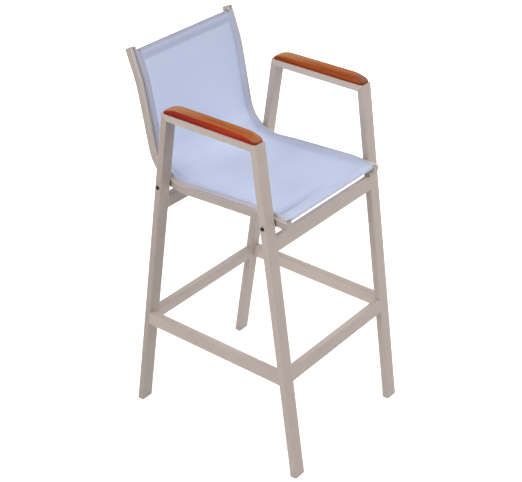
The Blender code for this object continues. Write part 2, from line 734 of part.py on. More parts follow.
def armrest_mesh():
    """Wooden slat lofted along Y: full in the middle, its top sloping to thin ends."""
    half = leg_line(ARM_TOP) + TUBE_NARROW / 2 / cos(LEG_ANGLE) - ARMREST_END_INSET
    width = TUBE_WIDE - 2 * ARMREST_SIDE_INSET
    reaches = [ARMREST_END_SLOPE * (1 - cos(angle)) for angle in (*spaced(0, pi / 2, 8), pi / 2)]
    stations = [reach - half for reach in reaches] + [half - reach for reach in reversed(reaches)]
    shape = bmesh.new()
    rings = []
    for y in stations:
        slope = max(0.0, 1 - (half - abs(y)) / ARMREST_END_SLOPE)
        rise = (1 - slope**ARMREST_END_POWER) ** (1 / ARMREST_END_POWER)
        height = ARMREST_TIP + (ARMREST_HEIGHT - ARMREST_TIP) * rise
        tip = max(0.0, 1 - (half - abs(y)) / ARMREST_CORNER)
        narrowed = width - 2 * ARMREST_CORNER * (1 - sqrt(1 - tip**2))
        rings.append([shape.verts.new((x, y, z)) for x, z in armrest_section(narrowed, height)])
    for ring, following in zip(rings, rings[1:]):
        for i, vertex in enumerate(ring):
            after = (i + 1) % len(ring)
            shape.faces.new((vertex, ring[after], following[after], following[i]))
    shape.faces.new(rings[0])
    shape.faces.new(rings[-1])
    bmesh.ops.recalc_face_normals(shape, faces=shape.faces)
    mesh = finished_mesh("armrest", shape)
    shade_round(mesh)
    return mesh


def screw_profile(reach):
    """Pointed shank above Z = 0 and pan head below it."""
    head, radius = SCREW_HEAD_DIAMETER / 2, SCREW_DIAMETER / 2
    shank = [(0, reach), (0.4 * radius, reach), (radius, reach - 2 * radius), (radius, 0)]
    low = -SCREW_HEAD_HEIGHT
    return [*shank, (head, 0), (0.9 * head, 0.7 * low), (0.5 * head, low), (0, low)]


def build_armrests(stool, arm_rails):
    """Armrests and the screws that hold them from below."""
    underside = ARM_TOP - TUBE_NARROW - GAP
    hole_radius = SCREW_DIAMETER / 2 + HOLE_CLEARANCE
    reach = TUBE_NARROW + 2 * GAP + SCREW_BITE
    for side_name, side in SIDES.items():
        place = (side * LEG_X, 0, ARM_TOP + GAP)
        armrest = stool.add(f"{side_name}_armrest", armrest_mesh(), stool.wood, place)
        for end_name, end in ENDS.items():
            tag = f"{end_name}_{side_name}"
            place = (side * LEG_X, end * SCREW_SPACING / 2, underside)
            drill = stool.cutter(f"{tag}_screw_hole", cylinder_mesh(hole_radius, 0, reach + 2 * GAP), place)
            shape_with(arm_rails[side_name], drill, "DIFFERENCE")
            shape_with(armrest, drill, "DIFFERENCE")
            screw = turned_mesh(screw_profile(reach), 12)
            stool.add(f"{tag}_armrest_screw", screw, stool.steel, place)


def main():
    clear_scene()
    stool = Stool()
    legs = build_legs(stool)
    build_glides(stool)
    arm_rails = build_arm_rails(stool)
    build_bars(stool)
    sling_rails = build_sling_rails(stool)
    build_rail_plugs(stool)
    build_rail_bolts(stool, legs, sling_rails)
    build_sling(stool)
    build_sling_rods(stool)
    build_armrests(stool, arm_rails)


main()
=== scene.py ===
from math import atan2, cos, exp, hypot, pi, radians, sin, tan

import bpy
import numpy as np
from mathutils import Matrix, Vector


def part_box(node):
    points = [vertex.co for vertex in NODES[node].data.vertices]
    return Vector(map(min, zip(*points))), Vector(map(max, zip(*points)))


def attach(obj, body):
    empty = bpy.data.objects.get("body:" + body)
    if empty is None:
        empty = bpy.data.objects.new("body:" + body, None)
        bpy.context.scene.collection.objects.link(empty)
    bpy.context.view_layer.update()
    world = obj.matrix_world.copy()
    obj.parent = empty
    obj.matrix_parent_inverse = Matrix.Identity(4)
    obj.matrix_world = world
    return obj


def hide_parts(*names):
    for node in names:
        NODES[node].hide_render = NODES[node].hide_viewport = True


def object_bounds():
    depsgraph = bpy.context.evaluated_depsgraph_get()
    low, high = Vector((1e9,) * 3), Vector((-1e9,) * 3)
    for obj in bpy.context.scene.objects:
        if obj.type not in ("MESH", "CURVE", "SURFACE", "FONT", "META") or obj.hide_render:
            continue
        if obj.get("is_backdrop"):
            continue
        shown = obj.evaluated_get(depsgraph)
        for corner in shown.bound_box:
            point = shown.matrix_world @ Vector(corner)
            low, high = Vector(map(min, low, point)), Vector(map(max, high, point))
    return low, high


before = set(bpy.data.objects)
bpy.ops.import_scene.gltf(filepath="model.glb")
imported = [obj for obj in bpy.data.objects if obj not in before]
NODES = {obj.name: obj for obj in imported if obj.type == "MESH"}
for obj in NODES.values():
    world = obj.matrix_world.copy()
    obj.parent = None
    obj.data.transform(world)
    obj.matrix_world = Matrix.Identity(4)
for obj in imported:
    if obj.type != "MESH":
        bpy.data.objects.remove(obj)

CAD_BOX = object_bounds()

# Sizes of the stool that the dressed pieces share with the solids, in metres
GAP = 0.0003
TUBE_WIDE = 0.040
TUBE_NARROW = 0.020
TUBE_CORNER = 0.003
FRAME_WIDTH = 0.500
FOOT_SPACING = 0.5734
ARM_SPACING = 0.2894
ARM_TOP = 0.978
STRETCHER_HEIGHT = 0.311
CROSSBAR_DROP = 0.0441
RAIL_WIDTH = 0.022
RAIL_DEPTH = 0.022
ELBOW_Z = 0.7401
FRONT_OVERHANG = 0.0379
REAR_OVERHANG = 0.03485
BACK_RUN = 0.2770
BACK_TOP_RUN = 0.0950
SEAT_RISE = radians(2.8)
BACK_LEAN = radians(11.3)
BACK_TOP_LEAN = radians(20.3)
FRONT_DROP = radians(11.1)
FRONT_BEND_RADIUS = 0.389
SEAT_BEND_RADIUS = 0.110
BACK_BEND_RADIUS = 0.300
SPACER_THICKNESS = 0.002
CLOTH = 0.0014
HEM_ROD = 0.003
TOP_HEM_DROP = 0.007
SEAT_SAG = 0.010
VALLEY_SAG = 0.007
VALLEY_LENGTH = 0.030
BACK_SAG = 0.005
ELBOW_BRIDGE = 0.010

# Sizes that follow from those above
TILT = (FOOT_SPACING - ARM_SPACING) / 2 / ARM_TOP
LEG_ANGLE = atan2(TILT, 1)
LEG_X = (FRAME_WIDTH - TUBE_WIDE) / 2
CLEAR_WIDTH = FRAME_WIDTH - 2 * TUBE_WIDE
RAIL_X = CLEAR_WIDTH / 2 - SPACER_THICKNESS - RAIL_WIDTH / 2
RAIL_INNER = RAIL_X - RAIL_WIDTH / 2
CROSSBAR_HEIGHT = ELBOW_Z - CROSSBAR_DROP
HEM_STATION = HEM_ROD / 2 + GAP + CLOTH
LAY = RAIL_DEPTH / 2 + GAP + CLOTH / 2
HEM_ROLL = HEM_ROD / 2 + GAP + CLOTH / 2
HEM_ROLL_HALF = RAIL_INNER - CLOTH
SHIFT_Y = (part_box("front_left_leg")[0].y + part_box("rear_left_leg")[1].y) / 2

# The rails' route as stretches of (length, curvature), from the front end of the seat to the top
LEG_REACH = FOOT_SPACING / 2 - ELBOW_Z * TILT
ELBOW_Y = LEG_REACH + REAR_OVERHANG
FRONT_BEND_REACH = FRONT_BEND_RADIUS * (sin(FRONT_DROP - SEAT_RISE) + sin(SEAT_RISE))
SEAT_RUN = (LEG_REACH + FRONT_OVERHANG + ELBOW_Y - FRONT_BEND_REACH) / cos(SEAT_RISE)
SEAT_TURN = pi / 2 - BACK_LEAN + SEAT_RISE
BACK_TURN = BACK_TOP_LEAN - BACK_LEAN
SEAT_TANGENT = SEAT_BEND_RADIUS * tan(SEAT_TURN / 2)
BACK_TANGENT = BACK_BEND_RADIUS * tan(BACK_TURN / 2)
STRETCHES = (
    (FRONT_BEND_RADIUS * FRONT_DROP, -1 / FRONT_BEND_RADIUS),
    (SEAT_RUN - SEAT_TANGENT, 0.0),
    (SEAT_BEND_RADIUS * SEAT_TURN, 1 / SEAT_BEND_RADIUS),
    (BACK_RUN - SEAT_TANGENT - BACK_TANGENT, 0.0),
    (BACK_BEND_RADIUS * BACK_TURN, -1 / BACK_BEND_RADIUS),
    (BACK_TOP_RUN - BACK_TANGENT, 0.0),
)
SEAT_START, SEAT_END, ELBOW_END, BACK_BEND, _, ROUTE_END = (
    sum(length for length, _ in STRETCHES[:count]) for count in range(1, len(STRETCHES) + 1)
)
ELBOW_MIDDLE = (SEAT_END + ELBOW_END) / 2
TOP_EDGE = ROUTE_END - TOP_HEM_DROP

# The rails' keder groove, and the number of places at which the route is looked up for it
GROOVE_CENTRE = 0.0066
GROOVE_HALF = 0.0034
GROOVE_MOUTH = 0.0002
ROUTE_PLACES = 500

# The fabric: one thin layer, doubled in hems and side pockets, inside the thickness of its solid
FABRIC = 0.00065
FOLD_RADIUS = 0.00036
LAYER = 0.00035
TOP_HEM = 0.035
TOP_ROLL = 0.009
TOP_ROLL_BACK = 0.003
FRONT_HEM = 0.030
FRONT_CLIMB = 0.009
HEM_END = 0.182
POCKET_EDGE = 0.1745
POCKET_START = 0.14
POCKET_GAP = 0.002
TUCK_OUTSET = 0.0013
TUCK_DEPTH = 0.0024
TUCK_X = RAIL_X + TUCK_OUTSET
WEAVE_PITCH = 0.0011

# The fabric's sag: its deepest place as a share of the seat, powers of its curves, and a dip by the margins
SEAT_SAG_PLACE = 0.6
BRIDGE_POWER = 2
SAG_POWER = 4
MARGIN_POWER = 6
MARGIN_DIP = 0.004
MARGIN_TAPER = 0.06

# The roll in which the fabric stands over the grooves, higher on the seat than on the back
EDGE_ROLL = 0.0045
EDGE_ROLL_END = 0.0011
EDGE_ROLL_RISE = 0.0145
EDGE_ROLL_FALL = 0.0036
EDGE_ROLL_TAPER = 0.12
SEAT_ROLL = 0.0068
SEAT_ROLL_TAPER = 0.08
ROLL_X = TUCK_X - EDGE_ROLL_FALL

# Folds at the right rail: a slanting pucker behind the front hem and a crease across the elbow
FOLD_REACH = 0.002
FOLD_FADE = 0.007
PUCKER_STATION = 0.0575
PUCKER_SLANT = 0.0415
PUCKER_DEPTH = 0.0078
PUCKER_WIDTH = 0.0125
PUCKER_END = 0.10
PUCKER_RUN = 0.27
PUCKER_RIDGE = 0.2 * PUCKER_DEPTH
PUCKER_RIDGE_WIDTH = 0.012
PUCKER_RIDGE_SHIFT = 0.027
CREASE_STATION = 0.3975
CREASE_DEPTH = 0.0018
CREASE_WIDTH = 0.0085
CREASE_END = -0.055
CREASE_RUN = 0.10
CREASE_RIDGE = 0.0009
CREASE_RIDGE_WIDTH = 0.010
CREASE_RIDGE_SHIFT = 0.020

# Paint on the fabric, mostly painted light and shade: distances or places between which a tone sets in, and
# how far the top hem's tones go
EDGE_PAINT = (0.150, 0.210)
LEFT_PAINT = (0.0, 0.10)
BACK_PAINT = (0.40, 0.50)
HEM_PAINT = 0.040
HEM_END_SHADE = (0.007, 0.001)
TOP_FOLD_SHADE = (0.010, 0.002)
FRONT_SHADE = (0.0075, 0.003)
PUCKER_SHADE = (0.022, 0.002)
PUCKER_SIDE = (0.09, -0.15)
CREASE_SHADE = (0.016, 0.001)
CREASE_SIDE = (0.02, -0.15)

# Mesh of the fabric: rows lie closer in the crease and the pucker, columns closer beside the rails
CREASE_ROWS_START = 0.43
CREASE_ROWS_END = 0.36
PUCKER_ROWS = 0.075
ROW_COUNTS = (23, 59, 29, 49, 33)
FOLD_ROWS = 7
HEM_ROLL_ROWS = 15
HEM_FLAP_ROWS = 21
MIDDLE_HALF = 0.170
MIDDLE_COLUMNS = 61
MARGIN_COLUMNS = 7
COLUMN_GAP = 0.001
ROLL_COLUMNS = 9
POCKET_COLUMNS = 12
TOLERANCE = 1e-9

# Stitches, and the places of their rows
STITCH_PITCH = 0.0034
STITCH_LENGTH = 0.0026
STITCH_RADIUS = 0.00028
STITCH_SIDES = 6
STITCH_PROFILE = ((-0.5, 0.25), (-0.36, 0.85), (0.0, 1.0), (0.36, 0.85), (0.5, 0.25))
STITCH_INSET = 0.002
TOP_STITCHES = 0.0195
HEM_SEAM_END = 0.004
POCKET_SEAM_END = 0.006
HEM_SEAM_PLACES = 60
POCKET_SEAM_PLACES = 160
DIRECTION_STEP = 0.0005
NORMAL_STEP = 0.001

# Welds: free beads, ground fillings of flush corners, and seams at the mitres
BEAD_SIDES = 10
CORNER_POINTS = 6
WELD_STEP = 0.0007
WELD_BEAD = 0.0016
WELD_SUNK = 0.6 * WELD_BEAD
WELD_RIPPLE = 0.0022
WELD_RIPPLE_SHARE = 0.12
FILLER_HEIGHT = 0.00075
FILLER_WIDTH = 0.0019
FILLER_SHIFT = 0.0009
FILLER_PROUD = 0.00006
SEAM_STEP = 0.0028
SEAM_RADIUS = 0.00045
SEAM_PROUD = 0.0001

# Strips of painted shade between legs and rails; their ends narrow by rings of (share of half length, size)
GAP_SHADE_WIDTH = 0.0016
GAP_SHADE_LENGTH = 0.0205
GAP_SHADE_OVERLAP = 0.0008
GAP_SHADE_CLEARANCE = 0.0001
GAP_SHADE_CORNER = 0.0007
GAP_SHADE_STEP = 0.0006
GAP_SHADE_RINGS = ((-1.0, 0.55), (-0.97, 0.9), (-0.9, 1.0), (0.0, 1.0), (0.9, 1.0), (0.97, 0.9), (1.0, 0.55))

# Shading of the solids
SHARP_ANGLE = radians(40)
JOIN_DISTANCE = 0.000002

# The photograph's camera: place and direction in the frame of the feet, turn about its axis, focal length
CAMERA_PLACE = Vector((-2.436, -1.896, 2.370))
CAMERA_FORWARD = Vector((0.6754, 0.5324, -0.5103))
CAMERA_ROLL = 0.00147
CAMERA_REACH = 100
FOCAL_PIXELS = 1281.3
IMAGE_WIDTH = 522
SENSOR_WIDTH = 36.0

# Studio: lamps as (side seen from the front, direction, level), and a floor that glows more further away
AMBIENT = 0.14
LAMP_AIM = Vector((0, 0, 0.65))
LAMP_DISTANCE = 3.6
LAMP_SIZE = 2.4
LAMPS = (
    ("left", (-0.87, 0.0, 0.60), 0.60),
    ("right", (1.0, 0.0, 0.32), 0.78),
    ("front", (0.0, -1.0, 0.84), 0.43),
    ("rear", (0.0, 1.0, 0.50), 0.32),
)
FLOOR_REACH = 20.0
FLOOR_DROP = 0.0002
FLOOR_GLOW = 0.42
GLOW_START = 0.9
GLOW_END = 3.0

SIDES = {"right": -1, "left": 1}
ENDS = {"front": -1, "rear": 1}


def linear(value):
    """Linear light of an 8-bit screen value."""
    value /= 255
    return value / 12.92 if value <= 0.04045 else ((value + 0.055) / 1.055) ** 2.4


def screen(red, green, blue):
    """Colour as it shows on a screen, in linear light."""
    return (linear(red), linear(green), linear(blue), 1.0)


WHITE = screen(255, 255, 255)


class Graph:
    """The nodes of a material or of the world, being put together."""

    def __init__(self, owner):
        owner.use_nodes = True
        self.tree = owner.node_tree

    def give(self, socket, value):
        """Links an output to a socket, or sets the socket to a plain value."""
        if isinstance(value, bpy.types.NodeSocket):
            self.tree.links.new(value, socket)
        else:
            socket.default_value = value

    def add(self, kind, inputs=(), **settings):
        """A new node with its settings and inputs."""
        made = self.tree.nodes.new(kind)
        for key, value in settings.items():
            setattr(made, key, value)
        for key, value in dict(inputs).items():
            self.give(made.inputs[key], value)
        return made

    def math(self, operation, *values):
        return self.add("ShaderNodeMath", enumerate(values), operation=operation).outputs[0]

    def times(self, first, second):
        return self.math("MULTIPLY", first, second)

    def share(self, value, low, high, start=0.0, stop=1.0, kind="LINEAR"):
        """Step of a value between two limits, straight or smooth."""
        inputs = {"Value": value, "From Min": low, "From Max": high, "To Min": start, "To Max": stop}
        return self.add("ShaderNodeMapRange", inputs, interpolation_type=kind).outputs[0]

    def smooth(self, value, low, high, start=0.0, stop=1.0):
        return self.share(value, low, high, start, stop, "SMOOTHSTEP")

    def blend(self, factor, first, second, kind="MIX"):
        """Mix of two colours; the Mix node has its factor and colours at sockets 0, 6 and 7."""
        made = self.add("ShaderNodeMix", data_type="RGBA", blend_type=kind)
        for index, value in ((0, factor), (6, first), (7, second)):
            self.give(made.inputs[index], value)
        return made.outputs[2]

    def tint(self, colour, paint, factor=1.0):
        """Colour multiplied by a paint, as far as the factor says."""
        return self.blend(factor, colour, paint, "MULTIPLY")

    def ramp(self, factor, stops):
        """Colour by stops of (place, red, green, blue), in screen values."""
        made = self.add("ShaderNodeValToRGB", {"Fac": factor})
        band = made.color_ramp
        while len(band.elements) < len(stops):
            band.elements.new(0.5)
        for element, (place, *colour) in zip(band.elements, stops):
            element.position = place
            element.color = screen(*colour)
        return made.outputs["Color"]

    def noise(self, place, scale, detail=3.0, roughness=0.55):
        inputs = {"Vector": place, "Scale": scale, "Detail": detail, "Roughness": roughness}
        return self.add("ShaderNodeTexNoise", inputs).outputs["Fac"]

    def place(self):
        """Place on the object, in metres."""
        return self.add("ShaderNodeTexCoord").outputs["Object"]

    def normal(self):
        """Direction of the face."""
        return self.add("ShaderNodeNewGeometry").outputs["True Normal"]

    def stretched(self, place, scale):
        return self.add("ShaderNodeMapping", {"Vector": place, "Scale": scale}).outputs["Vector"]

    def split(self, vector):
        return self.add("ShaderNodeSeparateXYZ", {"Vector": vector}).outputs[:3]

    def bump(self, height, distance, strength):
        inputs = {"Height": height, "Distance": distance, "Strength": strength}
        return self.add("ShaderNodeBump", inputs).outputs["Normal"]


class Material(Graph):
    """A material around one Principled shader."""

    def __init__(self, name, roughness=0.5, metallic=0.0, specular=0.5):
        self.material = bpy.data.materials.new(name)
        super().__init__(self.material)
        self.shader = self.tree.nodes["Principled BSDF"].inputs
        self.shader["Roughness"].default_value = roughness
        self.shader["Metallic"].default_value = metallic
        self.shader["Specular IOR Level"].default_value = specular

    def finish(self, colour, roughness, normal):
        for name, value in (("Base Color", colour), ("Roughness", roughness), ("Normal", normal)):
            if value is not None:
                self.give(self.shader[name], value)
        return self.material


def coat_material(name, tones, painted_lighting=None, side=(0, 0, 1)):
    """Satin powder coat in tones (darker, lighter, speck): fine orange peel, faint clouds, and a painted
    tone on the faces that look towards one side, lighter for painted light and darker for painted shade."""
    graph = Material(name)
    darker, lighter, speck = tones
    place = graph.place()
    clouds = graph.noise(place, 9.0, 4.0)
    speckle = graph.noise(place, 1600.0, 2.0)
    tone = graph.ramp(clouds, ((0.3, *darker), (0.7, *lighter)))
    # Painted light and shade: the given tone on the faces that look towards one side
    if painted_lighting is not None:
        facing = graph.add("ShaderNodeVectorMath", {0: graph.normal(), 1: side}, operation="DOT_PRODUCT")
        tone = graph.blend(graph.smooth(facing.outputs["Value"], 0.55, 0.85), tone, screen(*painted_lighting))
    colour = graph.blend(graph.smooth(speckle, 0.55, 0.8, 0.0, 0.25), tone, screen(*speck))
    roughness = graph.smooth(clouds, 0.3, 0.7, 0.40, 0.48)
    peel = graph.noise(place, 620.0, 2.0)
    return graph.finish(colour, roughness, graph.bump(peel, 0.00006, 0.5))


def weave(graph, flat):
    """Height and colour of a plain weave with small open corners, faint streaks and clouds."""
    across, along, _ = graph.split(flat)
    wave_across = graph.math("SINE", graph.times(across, pi / WEAVE_PITCH))
    wave_along = graph.math("SINE", graph.times(along, pi / WEAVE_PITCH))
    yarn_across = graph.math("ABSOLUTE", wave_across)
    yarn_along = graph.math("ABSOLUTE", wave_along)
    over = graph.smooth(graph.times(wave_across, wave_along), -0.12, 0.12)
    below = graph.times(yarn_along, graph.math("SUBTRACT", 1.0, over))
    height = graph.math("MULTIPLY_ADD", yarn_across, over, below)
    filled = graph.smooth(graph.math("MAXIMUM", yarn_across, yarn_along), 0.15, 0.75)
    streak_across = graph.noise(graph.stretched(flat, (900.0, 6.0, 1.0)), 1.0, 2.0)
    streak_along = graph.noise(graph.stretched(flat, (6.0, 900.0, 1.0)), 1.0, 2.0)
    streaks = graph.math("ADD", streak_across, streak_along)
    clouds = graph.noise(flat, 7.0, 3.0)
    light = graph.math("MULTIPLY_ADD", streaks, 0.05, graph.math("MULTIPLY_ADD", clouds, 0.05, 0.925))
    grey = graph.add("ShaderNodeCombineColor", {0: light, 1: light, 2: light}).outputs[0]
    yarn = graph.tint(screen(211, 222, 249), grey)
    corner = graph.tint(yarn, screen(205, 205, 212))
    return height, graph.blend(filled, corner, yarn)


def painted_length_shade(graph, station):
    """Painted shade along the fabric: slight changes of tone along its length, darkest at the top of the
    back.
    """
    places = (0.24, 0.32, 0.49, 0.53, 0.60, 0.70, 0.80, 0.90)
    shade_greys = (255, 248, 246, 252, 255, 251, 248, 240)
    stops = [(place, grey, grey, grey) for place, grey in zip(places, shade_greys)]
    return graph.ramp(graph.math("DIVIDE", station, TOP_EDGE), stops)


def side_tone_and_shade(graph, across, station):
    """Tone along the sides. On the seat, painted shade darkens the fabric towards its roll into the rails,
    and painted light in the rails' tone lies on the roll's outer fall. On the back, the doubled pockets are
    greyer, partly as painted shade where less light comes through two layers, with painted shade by the
    grooves; the left pocket is lighter, with painted light."""
    edge = graph.share(graph.math("ABSOLUTE", across), *EDGE_PAINT)
    # Painted shade towards the roll, then painted light in the rails' tone on its outer fall
    seat_roll_light_and_shade = (
        (0.17, 255, 255, 255),
        (0.34, 247, 246, 247),
        (0.54, 240, 237, 235),
        (0.70, 230, 222, 216),
        (0.745, 219, 210, 205),
        (0.78, 238, 220, 208),
        (0.82, 254, 233, 217),
    )
    # Doubled pocket, greyer partly as painted shade, and painted shade by the groove
    back_pocket_tone_and_shade = (
        (0.34, 255, 255, 255),
        (0.40, 248, 246, 246),
        (0.43, 219, 209, 206),
        (0.60, 220, 211, 208),
        (0.70, 228, 218, 212),
        (0.77, 206, 196, 190),
        (0.86, 160, 152, 148),
    )
    # Painted light on the left pocket
    left_side = graph.smooth(across, *LEFT_PAINT, 0.0, 0.4)
    painted_light_share = graph.times(left_side, graph.smooth(edge, 0.80, 0.62))
    back = graph.blend(painted_light_share, graph.ramp(edge, back_pocket_tone_and_shade), WHITE)
    on_back = graph.smooth(station, *BACK_PAINT)
    return graph.blend(on_back, graph.ramp(edge, seat_roll_light_and_shade), back)


def hem_paint(graph, from_fold):
    """Tone of the top hem's bands: rolled edge, doubled band and seams; the doubled band is greyer for its
    two layers and for painted shade, where less light comes through two layers.
    """
    stops = (
        (0.05, 198, 192, 190),
        (0.09, 222, 214, 210),
        (0.20, 224, 216, 212),
        (0.27, 250, 241, 243),
        (0.35, 250, 241, 243),
        (0.44, 234, 235, 238),
        (0.50, 227, 229, 232),
        (0.78, 227, 229, 232),
        (0.90, 255, 255, 255),
    )
    return graph.ramp(graph.math("DIVIDE", from_fold, HEM_PAINT), stops)


def fold_shade(graph, across, station):
    """How far a place lies in the pucker or the crease, more towards the right rail: the share of painted
    shade in these folds.
    """
    pucker_line = graph.math("MULTIPLY_ADD", across, PUCKER_SLANT, PUCKER_STATION)
    from_pucker = graph.math("ABSOLUTE", graph.math("SUBTRACT", station, pucker_line))
    pucker_side = graph.smooth(across, *PUCKER_SIDE)
    pucker = graph.times(graph.smooth(from_pucker, *PUCKER_SHADE), pucker_side)
    from_crease = graph.math("ABSOLUTE", graph.math("SUBTRACT", station, CREASE_STATION))
    crease_side = graph.smooth(across, *CREASE_SIDE, 0.0, 0.3)
    crease = graph.times(graph.smooth(from_crease, *CREASE_SHADE), crease_side)
    return graph.math("MAXIMUM", pucker, crease)


def fabric_material():
    """Coated mesh fabric: a weave, greyer where hems and pockets double it (partly painted shade), with
    painted shade in folds, at the front fold and in the hem ends, and painted light and shade along its
    sides and length.
    """
    graph = Material("sling_weave", roughness=0.62, specular=0.35)
    flat = graph.add("ShaderNodeUVMap", uv_map="flat").outputs["UV"]
    across, along, _ = graph.split(flat)
    station = graph.math("SUBTRACT", TOP_EDGE, along)
    from_fold = graph.math("ABSOLUTE", along)
    height, colour = weave(graph, flat)
    colour = graph.tint(colour, painted_length_shade(graph, station))
    doubled = graph.blend(1.0, side_tone_and_shade(graph, across, station), hem_paint(graph, from_fold), "DARKEN")
    colour = graph.tint(colour, doubled)
    # Painted shade in the hollow ends of the top hem, beside the rails
    from_hem_end = graph.math("ABSOLUTE", graph.math("SUBTRACT", graph.math("ABSOLUTE", across), HEM_END))
    at_fold = graph.smooth(from_fold, *TOP_FOLD_SHADE)
    hem_end_shade = graph.times(graph.smooth(from_hem_end, *HEM_END_SHADE), at_fold)
    colour = graph.tint(colour, screen(196, 190, 186), hem_end_shade)
    # Painted shade where the fabric rolls under at the front fold
    front_fold_shade = graph.smooth(graph.math("ABSOLUTE", station), *FRONT_SHADE)
    colour = graph.tint(colour, screen(238, 230, 226), front_fold_shade)
    # Painted shade in the pucker and the crease
    colour = graph.tint(colour, screen(228, 229, 232), fold_shade(graph, across, station))
    roughness = graph.smooth(height, 0.2, 1.0, 0.72, 0.55)
    return graph.finish(colour, roughness, graph.bump(height, 0.00022, 0.55))


def teak_material():
    """Oiled teak: long grain with dark pores, redder on the right armrest's outer side, with painted shade
    on the left one's front slope and a painted sheen towards the ends of the tops."""
    graph = Material("oiled_teak", roughness=0.5, specular=0.15)
    place = graph.place()
    normal_x, normal_y, normal_z = graph.split(graph.normal())
    side_of, lengthwise, _ = graph.split(place)
    bend = graph.noise(graph.stretched(place, (9.0, 2.2, 9.0)), 1.0, 2.0)
    drift_x, drift_z = graph.times(bend, 0.020), graph.times(bend, 0.012)
    drift = graph.add("ShaderNodeCombineXYZ", {"X": drift_x, "Z": drift_z}).outputs[0]
    drifted = graph.add("ShaderNodeVectorMath", {0: place, 1: drift}, operation="ADD").outputs[0]
    broad = graph.noise(graph.stretched(drifted, (130.0, 3.0, 130.0)), 1.0, 4.0, 0.6)
    fine = graph.noise(graph.stretched(drifted, (620.0, 9.0, 620.0)), 1.0, 3.0)
    pores = graph.noise(graph.stretched(drifted, (1500.0, 40.0, 1500.0)), 1.0, 2.0)
    top, inner, outer = (
        graph.ramp(broad, ((0.36, *dark), (0.50, *middle), (0.64, *light)))
        for dark, middle, light in (
            ((136, 54, 12), (166, 84, 24), (180, 106, 42)),
            ((128, 44, 8), (160, 72, 20), (174, 94, 38)),
            ((116, 12, 2), (150, 28, 6), (166, 52, 20)),
        )
    )
    right_side = graph.times(graph.smooth(normal_x, 0.2, -0.2), graph.smooth(side_of, 0.1, -0.1))
    sides = graph.blend(right_side, inner, outer)
    # Painted sheen: the top turns lighter and tan towards its rear end, and a little towards its front end
    rear, front = graph.smooth(lengthwise, -0.03, 0.12), graph.smooth(lengthwise, -0.12, -0.17, 0.0, 0.6)
    painted_light_share = graph.times(graph.math("MAXIMUM", rear, front), 0.75)
    top = graph.blend(painted_light_share, top, screen(186, 134, 92))
    colour = graph.blend(graph.smooth(normal_z, 0.45, 0.8), sides, top)
    # Painted shade on the left armrest's front slope
    slope = graph.smooth(normal_y, -0.12, -0.35, 0.0, 0.6)
    left_slope_shade = graph.times(slope, graph.smooth(side_of, -0.1, 0.1))
    colour = graph.blend(left_slope_shade, colour, screen(104, 34, 12))
    colour = graph.blend(graph.smooth(fine, 0.52, 0.75, 0.0, 0.45), colour, screen(110, 52, 26))
    colour = graph.blend(graph.smooth(pores, 0.62, 0.72, 0.0, 0.5), colour, screen(74, 36, 20))
    roughness = graph.smooth(fine, 0.3, 0.7, 0.42, 0.56)
    relief = graph.math("MULTIPLY_ADD", pores, -0.6, fine)
    return graph.finish(colour, roughness, graph.bump(relief, 0.00008, 0.5))


def moulded_material(name, colour, darker, roughness):
    """Moulded plastic or vinyl with a fine spark-eroded skin."""
    graph = Material(name)
    place = graph.place()
    skin = graph.noise(place, 1400.0, 3.0)
    clouds = graph.noise(place, 40.0, 3.0)
    tone = graph.blend(graph.smooth(clouds, 0.3, 0.7), colour, darker)
    gloss = graph.smooth(skin, 0.3, 0.7, roughness - 0.05, roughness + 0.07)
    return graph.finish(tone, gloss, graph.bump(skin, 0.00004, 0.5))


def metal_material(name, colour, worn, roughness, metallic):
    """Plated or blackened steel: cloudy plating, brighter specks of wear."""
    graph = Material(name, metallic=metallic)
    place = graph.place()
    clouds = graph.noise(place, 220.0, 4.0)
    specks = graph.noise(place, 900.0, 2.0)
    tone = graph.blend(graph.smooth(specks, 0.62, 0.8, 0.0, 0.5), colour, worn)
    gloss = graph.smooth(clouds, 0.3, 0.7, roughness - 0.08, roughness + 0.1)
    return graph.finish(tone, gloss, graph.bump(clouds, 0.00002, 0.4))


def mottled_material(name, roughness, grain, relief, stops):
    """Twisted thread or a coated weld: one noise of a grain (scale, detail) gives both tone and relief."""
    graph = Material(name, roughness)
    mottle = graph.noise(graph.place(), *grain)
    return graph.finish(graph.ramp(mottle, stops), None, graph.bump(mottle, relief, 0.5))


